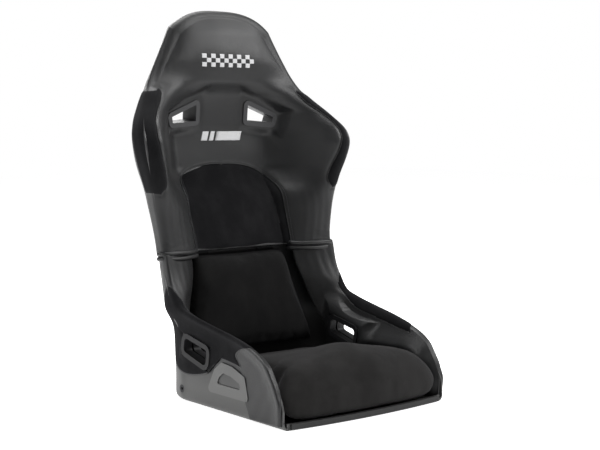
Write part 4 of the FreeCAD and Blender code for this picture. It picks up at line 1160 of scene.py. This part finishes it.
@dataclass
class WaistRolls:
    """Two stuffed rolls round each column at the waist, one above the other."""

    form: SeatForm
    finishes: Finishes
    radius: float = 0.0056
    heights: tuple[float, float] = (0.3150, 0.3268)

    def path(self, side: Side, height: float) -> Array:
        """Line of a roll: along the front of the column, then over its edge."""
        s = float(side.value)
        rim = self.form.waist + 0.002
        border = float(self.form.half_width(rim) - self.form.roll_in(rim))
        x = s * np.linspace(0.139, border, 40)
        z = np.full(40, rim)
        front = np.stack([x, self.form.front_y(x, z), z], axis=-1)
        steps = np.linspace(0, 1.6, 14)[1:]
        rest = self.form.over_edge(np.array([s]), np.array([rim]), np.zeros(1), steps)[0]
        line = np.concatenate([front, rest])
        line[:, 2] = height
        line[0, 1] += 0.010
        return resample(line[None], np.linspace(0, 1, 70))[0]

    def build_side(self, side: Side) -> bpy.types.Object:
        """Both rolls of one side: tubes whose line rises and dips a little along them."""
        parts = []
        for number, height in enumerate(self.heights):
            path = self.path(side, height)
            run = np.linspace(0, 1, len(path))
            path[:, 2] += 0.0007 * np.sin(run * 9 + number * 2)
            normals = np.broadcast_to(np.array([0.0, 0.0, 1.0]), path.shape)
            parts.append(tube(path, normals, self.radius, 20))
        return make_object(f"waist_rolls_leather_{side.word}", *join(parts))

    def build(self) -> None:
        """Builds and dresses the rolls."""
        for side in Side:
            piece = dress(self.build_side(side), self.finishes.leather, "root", "leather",
                          f"waist_rolls_{side.word}")


# ------------------------------------------------------------------ seat half

@dataclass
class ThighBolster:
    """Side bolster of the seat half: leather over the ridge and nose, suede outside the hip."""

    side: Side
    form: SeatForm
    finishes: Finishes
    rows: int = 190
    columns: int = 120
    between_faces: float = 0.221
    outer_limit: float = 0.236
    suede_from: float = 2.05
    suede_to: float = 8.0

    def __post_init__(self) -> None:
        """Sets the guide lines, in millimetres on the +X side: ridge, inner edge, corner, hem."""
        self.ridge = Track(
            (246, 60, 326), (247, 49, 282), (249, 31, 244), (249, 4, 213), (248, -45, 198),
            (245, -108, 185), (242, -170, 173), (240, -218, 161), (240, -257, 147),
            (240, -287, 129), (240, -309, 101), (240, -324, 75), (239, -334, 45), (236, -333, 9))
        self.inner = Track(
            (139, 108, 326), (142, 98, 288), (152, 88, 252), (172, 72, 200), (190, 44, 150),
            (197, -20, 116), (199, -100, 112), (201, -180, 114), (202, -235, 116),
            (203, -268, 108), (204, -288, 84), (205, -300, 60), (206, -306, 36), (206, -306, 8))
        self.corner = Track(
            (232, 120, 326), (234, 108, 284), (233, 82, 236), (226, 50, 150), (219, -20, 76),
            (216, -108, 66), (215, -170, 66), (214, -217, 66), (213, -230, 60), (211, -235, 50),
            (211, -240, 40), (211, -245, 30), (211, -250, 20), (211, -260, 8))
        self.hem = Track(
            (0, 78, 324), (0, 72, 276), (0, 76, 226), (0, 72, 140), (0, 58, 78), (0, 6, 62),
            (0, -72, 76), (0, -124, 118), (0, -196, 108), (0, -200, 96), (0, -203, 74),
            (0, -207, 50), (0, -217, 26), (0, -228, 6))
        self.outer_slot = Slot.lap(self.side.value * 0.2336)
        self.inner_slot = Slot.lap(self.side.value * 0.1950)

    def outside_x(self, z: Array, y: Array) -> Array:
        """Outer face of the shell's side wall, which turns in towards the back of the seat."""
        bend = 0.072 * np.clip((z - 0.150) / 0.172, 0, 1)
        back = self.form.back_depth(z)
        share = np.clip((y - bend) / (back - bend), 0, 0.97)
        power = Curve.plain((0, 3.4), (180, 3.2), (322, 2.7))(z)
        return self.form.half_width(z) * (1 - share ** power) ** (1 / power)

    def lines(self, t: Array) -> Array:
        """Rounded section lines at stations t, from the hidden inner edge over the ridge to the hem.

        Each starts as seven corners: a tuck behind the pads, the inner edge, a bulge, the inner and
        outer shoulders of the ridge, a point a little way down the outside, and the hem.

        Args:
            t: station numbers.

        Returns:
            Array (stations, points, 3), on the +X side.
        """
        ridge, inner, corner, hem = self.ridge(t), self.inner(t), self.corner(t), self.hem(t)
        tuck = inner + (corner - inner) * 0.34
        crown = unit((ridge + inner) / 2 - corner)
        swell = Curve([0, 3, 4.5, 6.5, 8, 13], [0.013, 0.013, 0.004, 0.004, 0.012, 0.012])(t)
        bulge = (ridge + inner) / 2 + crown * swell[:, None]
        down = unit((hem - ridge) * np.array([0, 1, 1]))
        shoulder = ridge + np.array([-0.017, 0, 0]) + down * 0.0015
        outer = ridge + np.array([0.0015, 0, 0]) - down * 0.002
        length = np.linalg.norm((hem - ridge)[:, 1:], axis=1, keepdims=True)
        below = ridge + down * np.minimum(0.024, length * 0.45)
        below[:, 0] = self.outside_x(below[:, 2], below[:, 1]) + 0.0016
        middle = mix(below, hem, 0.5)
        middle[:, 0] = self.outside_x(middle[:, 2], middle[:, 1]) + 0.0016
        hem[:, 0] = self.outside_x(hem[:, 2], hem[:, 1]) + 0.0012
        net = np.stack([tuck, inner, bulge, shoulder, outer, below, middle, hem], axis=1)
        return cut_corners(net, 4)

    def mirrored(self, points: Array) -> Array:
        """Points on this bolster's own side."""
        return points * np.array([self.side.value, 1, 1])

    def around_slots(self, points: Array) -> Array:
        """Sinks the cover under the lap-belt frames, inside and outside."""
        outside = np.abs(points[..., :1]) > self.between_faces
        out = self.outer_slot.sink(points, 0.0, 0.016)
        inn = self.inner_slot.sink(points, 0.0, 0.045)
        near = np.abs(points[..., :1]) < self.outer_limit
        return np.where(outside, np.where(near, out, points), inn)

    def pulls(self, points: Array, t: Array) -> Array:
        """Soft creases of the leather: along the column, and fanned round the nose."""
        column = 1 - smoothstep(t, 1.2, 2.6)
        wave = np.sin(points[..., 0] * 300 + points[..., 2] * 40) * column * 0.0003
        nose = smoothstep(t, 7.5, 9.0)
        return wave + 0.0002 * nose * np.sin(points[..., 1] * 160 + points[..., 2] * 90)

    def seam_share(self, lines: Array, t: Array) -> Array:
        """Share of each section's length where the suede seam crosses it, on the inside of the ridge."""
        target = Curve([0, 2, 3, 5, 8, 13], [0.232, 0.230, 0.227, 0.224, 0.219, 0.215])(t)
        steps = np.linalg.norm(np.diff(lines, axis=1), axis=2)
        run = np.concatenate([np.zeros((len(lines), 1)), np.cumsum(steps, axis=1)], axis=1)
        first = np.argmax(lines[..., 0] > target[:, None], axis=1)
        return np.take_along_axis(run, first[:, None], 1)[:, 0] / run[:, -1]

    def build_cover(self) -> bpy.types.Object:
        """Leather over the whole bolster."""
        t = np.linspace(0, self.ridge.last, self.rows)
        lines = self.lines(t)
        grid = self.mirrored(resample(lines, np.linspace(0, 1, self.columns)))
        normals = grid_normals(grid, (0, 0, 1))
        tt = np.broadcast_to(t[:, None], grid.shape[:2])
        grid = grid + normals * self.pulls(grid, tt)[..., None]
        grid = self.around_slots(grid)
        quads = grid_quads(*grid.shape[:2])
        middle = grid.reshape(-1, 3)[quads].mean(axis=1)
        reach = np.where(np.abs(middle[:, 0]) > self.between_faces,
                         self.outer_slot.reach(middle), self.inner_slot.reach(middle))
        piece = make_object(f"bolster_leather_{self.side.word}", grid, quads[reach > -SLOT_OVERLAP],
                            (0, -0.3, 1))
        return thicken(piece, 0.0012)

    def suede_grid(self) -> tuple[Array, Array]:
        """Suede of the hip: from an arched top boundary forward to the seam over the thigh.

        Returns:
            The points, and outward normals of the leather below them.
        """
        b = np.linspace(0, 1, 96)
        cap = self.suede_from - 0.62 * np.sin(np.pi * np.clip(b * 1.12, 0, 1)) ** 0.8 + 0.45 * (1 - b) ** 3
        end = self.suede_to - 0.85 * np.sin(np.pi * b) ** 0.9
        t = cap[None] + (end - cap)[None] * np.linspace(0, 1, 130)[:, None]
        fine = np.linspace(1.0, 8.3, 400)
        lines = self.lines(fine)
        start = self.seam_share(lines, fine)
        shares = start[:, None] + (1 - start)[:, None] * b[None] * 0.985
        table = resample(lines, shares)
        place = (t - fine[0]) / (fine[-1] - fine[0]) * (len(fine) - 1)
        low = np.clip(np.floor(place).astype(int), 0, len(fine) - 2)
        part = (place - low)[..., None]
        column = np.broadcast_to(np.arange(len(b)), t.shape)
        grid = table[low, column] * (1 - part) + table[low + 1, column] * part
        grid = self.mirrored(grid)
        return grid, grid_normals(grid, (0, 0, 1))

    def build_suede(self) -> tuple[bpy.types.Object, list[tuple[Array, Array]]]:
        """Suede hip panel and the lines of its two front seams, with their normals."""
        grid, normals = self.suede_grid()
        rows, columns = grid.shape[:2]
        steps_a = np.linalg.norm(np.diff(grid, axis=0), axis=2)
        steps_b = np.linalg.norm(np.diff(grid, axis=1), axis=2)
        from_top = np.concatenate([np.zeros((1, columns)), np.cumsum(steps_a, axis=0)])
        from_seam = np.concatenate([np.zeros((rows, 1)), np.cumsum(steps_b, axis=1)], axis=1)
        gap = np.minimum.reduce([from_top, from_top[-1:] - from_top, from_seam,
                                 from_seam[:, -1:] - from_seam + 0.002])
        height = 0.0015 - 0.0036 * np.exp(-(gap / 0.004) ** 1.3)
        raised = grid + normals * height[..., None]
        raised = self.around_slots(raised)
        quads = grid_quads(rows, columns)
        middle = raised.reshape(-1, 3)[quads].mean(axis=1)
        reach = np.where(np.abs(middle[:, 0]) > self.between_faces,
                         self.outer_slot.reach(middle), 1.0)
        piece = make_object(f"hip_suede_{self.side.word}", raised, quads[reach > -SLOT_OVERLAP],
                            (self.side.value, 0, 0.3))
        seams = [(grid[:, 0], normals[:, 0]), (grid[-1], normals[-1]), (grid[0], normals[0])]
        return thicken(piece, 0.0010), seams

    def build(self) -> None:
        """Builds and dresses the bolster."""
        looks = self.finishes
        cover = dress(self.build_cover(), looks.leather, "root", "leather",
                      f"bolster_cover_{self.side.word}", f"bolster_foam_{self.side.word}")
        suede, seams = self.build_suede()
        dress(suede, looks.suede, "root", "suede", f"hip_panel_{self.side.word}")
        cords = [tube(line - normal * 0.0005, normal, 0.0010) for line, normal in seams]
        cord = make_object(f"hip_welt_cords_{self.side.word}", *join(cords))
        dress(cord, looks.leather, "root", "leather")


# ------------------------------------------------------------------ lift-out pads

@dataclass
class LiftOutPads:
    """Seat cushion and lower back pad, each a closed form blown up as cloth."""

    form: SeatForm
    finishes: Finishes
    voxel: float = 0.005
    cap: float = 0.005

    def cushion_points(self) -> tuple[Array, Array]:
        """Closed cushion: a rounded side profile carried across, drawn in at both ends.

        Returns:
            Its points and faces.
        """
        profile = np.array([
            (44, 34), (44, 66), (32, 76), (-10, 81), (-60, 90), (-110, 101), (-160, 113), (-205, 128),
            (-243, 139), (-280, 134), (-308, 116), (-330, 88), (-343, 54), (-343, 20), (-330, 12),
            (-150, 11), (20, 11), (44, 20)]) * MM
        loop = np.concatenate([profile, profile[:1]])
        loop = np.concatenate([loop, np.zeros((len(loop), 1))], axis=1)
        loop = resample(cut_corners(loop[None], 3), np.linspace(0, 1, 121))[0, :-1, :2]
        u = np.sin(np.linspace(-1, 1, 81) * np.pi / 2)
        y, z = loop[None, :, 0], loop[None, :, 1]
        half = Curve.mm((-342, 222), (-330, 222), (-300, 210), (-268, 190), (60, 186))(y)
        draw = np.sqrt(np.clip(1 - np.abs(u) ** 9, 0, 1))[:, None]
        hump = np.exp(-((y + 0.243) / 0.062) ** 2) * (1 - np.exp(-(u[:, None] * 2.6) ** 2))
        crown = 0.002 * (1 - u[:, None] ** 2) * smoothstep(z, 0.06, 0.11)
        top = z - (0.019 * hump + 0.006 * np.abs(u[:, None]) ** 4) * smoothstep(z, 0.05, 0.11) + crown
        middle = 0.055
        zz = middle + (top - middle) * draw
        bow = 0.014 * (1 - u[:, None] ** 2) * np.clip((-0.25 - y) / 0.06, 0, 1)
        centre = -0.14
        yy = centre + (y - centre) * mix(1.0, draw, 0.12) - bow
        x = u[:, None] * half * np.ones_like(zz)
        points = np.stack([x, yy, zz], axis=-1)
        return points.reshape(-1, 3), grid_quads(81, 120, closed_columns=True)

    def pad_points(self) -> tuple[Array, Array]:
        """Closed lower back pad: a leaning wedge, wide at the foot, drawn in round its edge.

        Returns:
            Its points and faces.
        """
        v = np.linspace(0, 1, 61)
        u = np.sin(np.linspace(-1, 1, 81) * np.pi / 2)
        z = mix(0.088, 0.3165, v)
        half = mix(0.190, 0.1345, v ** 0.9)
        front = Curve.mm((88, 46), (120, 52), (215, 77), (303, 101), (317, 108))(z)
        uu, zz = np.meshgrid(u, z, indexing="ij")
        side = np.clip(1 - np.abs(uu) ** 10, 0, 1) ** 0.5
        end = np.clip(1 - np.abs(2 * v[None] - 1) ** 14, 0, 1) ** 0.5
        full = side * end
        belly = 0.006 * (1 - uu ** 2) * np.sin(np.pi * v[None])
        back = front[None] + 0.026
        y_front = back - (back - front[None] + belly) * full
        y_back = back - 0.001 + (0.014 + 0.012 * (1 - v[None])) * full * (1 - 0.5 * np.abs(uu) ** 3)
        x = uu * half[None]
        near = np.stack([x, y_front, zz], axis=-1)
        far = np.stack([x, np.minimum(y_back, self.form.back_depth(zz) - 0.014), zz], axis=-1)
        first = grid_quads(81, 61)
        count = 81 * 61
        index = np.arange(count).reshape(81, 61)
        ring = np.concatenate([index[:, 0], index[-1, 1:], index[-2::-1, -1], index[0, -2:0:-1]])
        nxt = np.roll(ring, -1)
        wall = np.stack([ring, nxt, nxt + count, ring + count], axis=-1)
        points = np.concatenate([near.reshape(-1, 3), far.reshape(-1, 3)])
        return points, np.concatenate([first, first[:, ::-1] + count, wall])

    def plump(self, piece: bpy.types.Object, pressure: float = 4.0) -> bpy.types.Object:
        """Blows a closed form up as cloth, holding every point within the cap.

        Args:
            piece: closed mesh object, a little smaller than wanted.
            pressure: cloth pressure.

        Returns:
            The same object with its new mesh.
        """
        remesh = piece.modifiers.new("even", "REMESH")
        remesh.mode = "VOXEL"
        remesh.voxel_size = self.voxel
        self.settle(piece)
        relax = piece.modifiers.new("relax", "SMOOTH")
        relax.factor, relax.iterations = 0.5, 6
        self.settle(piece)
        rest = self.places(piece.data)
        cloth = piece.modifiers.new("blow", "CLOTH")
        cloth.settings.use_pressure = True
        cloth.settings.uniform_pressure_force = pressure
        cloth.settings.effector_weights.gravity = 0.0
        cloth.settings.quality = 4
        for number in range(1, 21):
            bpy.context.scene.frame_set(number)
        self.settle(piece)
        moved = self.places(piece.data)
        bpy.context.scene.frame_set(1)
        step = moved - rest
        length = np.linalg.norm(step, axis=1, keepdims=True)
        step *= self.cap * np.tanh(length / self.cap) / np.maximum(length, 1e-9)
        piece.data.vertices.foreach_set("co", (rest + step).astype(np.float32).ravel())
        piece.data.update()
        piece.data.polygons.foreach_set("use_smooth", np.ones(len(piece.data.polygons), bool))
        finer = piece.modifiers.new("finer", "SUBSURF")
        finer.levels = finer.render_levels = 1
        return piece

    @staticmethod
    def settle(piece: bpy.types.Object) -> None:
        """Bakes the modifiers into the mesh and removes them."""
        graph = bpy.context.evaluated_depsgraph_get()
        baked = bpy.data.meshes.new_from_object(piece.evaluated_get(graph))
        piece.modifiers.clear()
        piece.data = baked

    @staticmethod
    def places(mesh: bpy.types.Mesh) -> Array:
        """Vertex places as (count, 3)."""
        flat = np.empty(len(mesh.vertices) * 3, np.float32)
        mesh.vertices.foreach_get("co", flat)
        return flat.reshape(-1, 3).astype(float)

    def build(self) -> None:
        """Builds and dresses both pads."""
        for name, shape, finish, body, slot, node, fill in (
                ("seat_cushion_suede", self.cushion_points(), self.finishes.cushion_suede,
                 "seat_cushion", "pad_suede", "seat_cushion", 0.8),
                ("back_pad_suede", self.pad_points(), self.finishes.pad_suede,
                 "back_pad", "pad_suede", "back_pad", 0.7)):
            piece = self.plump(make_object(name, *shape))
            dress(piece, finish, body, slot, node)


# ------------------------------------------------------------------ moulded and steel parts

@dataclass
class HardParts:
    """Finishes of the CAD pieces that stay as they are."""

    finishes: Finishes

    def build(self) -> None:
        """Assigns a finish to every CAD node that is still shown."""
        looks = self.finishes
        chosen = {
            "lower_shell": looks.shell, "upper_shell": looks.shell, "harness_frame": looks.frame,
            "lap_frame": looks.dark_frame, "joint_plate": looks.black_steel,
            "side_mount_plate": looks.black_steel, "joint_bolts": looks.steel,
            "joint_washers": looks.steel, "joint_nuts": looks.steel, "front_lip_trim": looks.rubber,
            "back_hook": looks.tape, "back_loop": looks.tape, "seat_hook": looks.tape,
            "seat_loop": looks.tape,
        }
        for name, node in frame["nodes"].items():
            finish = next((f for start, f in chosen.items() if name.startswith(start)), None)
            if finish is not None and not node.hide_render:
                node.data.materials.clear()
                node.data.materials.append(finish)
                log.info("%s wears %s", name, finish.name)


# ------------------------------------------------------------------ studio

@dataclass
class Studio:
    """Pale floor, soft lights and the camera."""

    stand: tuple[float, float, float] = (-1.80878278, -2.31070339, 0.64097832)
    heading: float = 0.68804651
    dip: float = 0.08698237
    roll: float = 0.00332942
    lens: float = 76.286
    surround: float = 0.22

    def build_floor(self) -> None:
        """Wide pale floor under the seat."""
        corners = np.array([(-9, -9, 0), (9, -9, 0), (9, 9, 0), (-9, 9, 0)], float)
        floor = make_object("studio_floor", corners, np.array([[0, 1, 2, 3]]), (0, 0, 1))
        shop = Workshop("floor_paper")
        shop.drive("Base Color", shop.blend((0.86, 0.86, 0.86), (0.88, 0.88, 0.88), shop.noise(2.0)))
        shop.fixed(Roughness=0.9, Specular_IOR_Level=0.1, Emission_Strength=0.8,
                   Emission_Color=(1.0, 1.0, 1.0, 1.0))
        floor.data.materials.append(shop.material)

    def build_light(self, name: str, place: tuple[float, float, float], size: float,
                    power: float) -> None:
        """Soft square light that faces the middle of the seat."""
        data = bpy.data.lights.new(name, "AREA")
        data.size = size
        data.energy = power
        light = bpy.data.objects.new(name, data)
        light.location = place
        aim = Vector((0.0, -0.05, 0.42)) - Vector(place)
        light.rotation_euler = aim.to_track_quat("-Z", "Y").to_euler()
        bpy.context.scene.collection.objects.link(light)

    def build_camera(self) -> None:
        """Camera at the object's own viewing angle: its axes are right, up and backwards."""
        sa, ca = math.sin(self.heading), math.cos(self.heading)
        se, ce = math.sin(self.dip), math.cos(self.dip)
        ahead = Vector((sa * ce, ca * ce, -se))
        right = Vector((ca, -sa, 0.0))
        above = right.cross(ahead)
        level = math.cos(self.roll) * right + math.sin(self.roll) * above
        up = math.cos(self.roll) * above - math.sin(self.roll) * right
        data = bpy.data.cameras.new("studio_camera")
        data.lens = self.lens
        data.sensor_width = 36.0
        camera = bpy.data.objects.new("studio_camera", data)
        turn = Matrix((level, up, -ahead)).transposed().to_4x4()
        camera.matrix_world = Matrix.Translation(self.stand) @ turn
        bpy.context.scene.collection.objects.link(camera)
        bpy.context.scene.camera = camera

    def build(self) -> None:
        """Builds the floor, lights, surroundings and camera."""
        self.build_floor()
        self.build_light("key_light", (2.4, -1.8, 2.5), 1.3, 92.0)
        self.build_light("near_light", (-2.6, 0.5, 1.6), 1.3, 34.0)
        self.build_light("top_light", (0.1, 0.3, 2.6), 1.6, 60.0)
        self.build_light("back_light", (0.6, 2.4, 1.7), 1.4, 45.0)
        world = bpy.data.worlds.new("studio_world")
        world.use_nodes = True
        back = next(n for n in world.node_tree.nodes if n.type == "BACKGROUND")
        back.inputs["Color"].default_value = (1.0, 1.0, 1.0, 1.0)
        seen = Signal(world.node_tree, world.node_tree.nodes.new("ShaderNodeLightPath").outputs[0])
        glow = seen * (1.0 - self.surround) + self.surround
        world.node_tree.links.new(glow.socket, back.inputs["Strength"])
        bpy.context.scene.world = world
        bpy.context.scene.view_settings.view_transform = "Standard"
        self.build_camera()


def main() -> None:
    """Builds the seat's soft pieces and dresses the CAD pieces."""
    logging.basicConfig(level=logging.INFO, format="%(message)s")
    Studio().build()
    form = SeatForm()
    finishes = Finishes()
    BackUpholstery(form, finishes).build()
    WaistRolls(form, finishes).build()
    for side in Side:
        ThighBolster(side, form, finishes).build()
    LiftOutPads(form, finishes).build()
    HardParts(finishes).build()


if __name__ == "__main__":
    main()
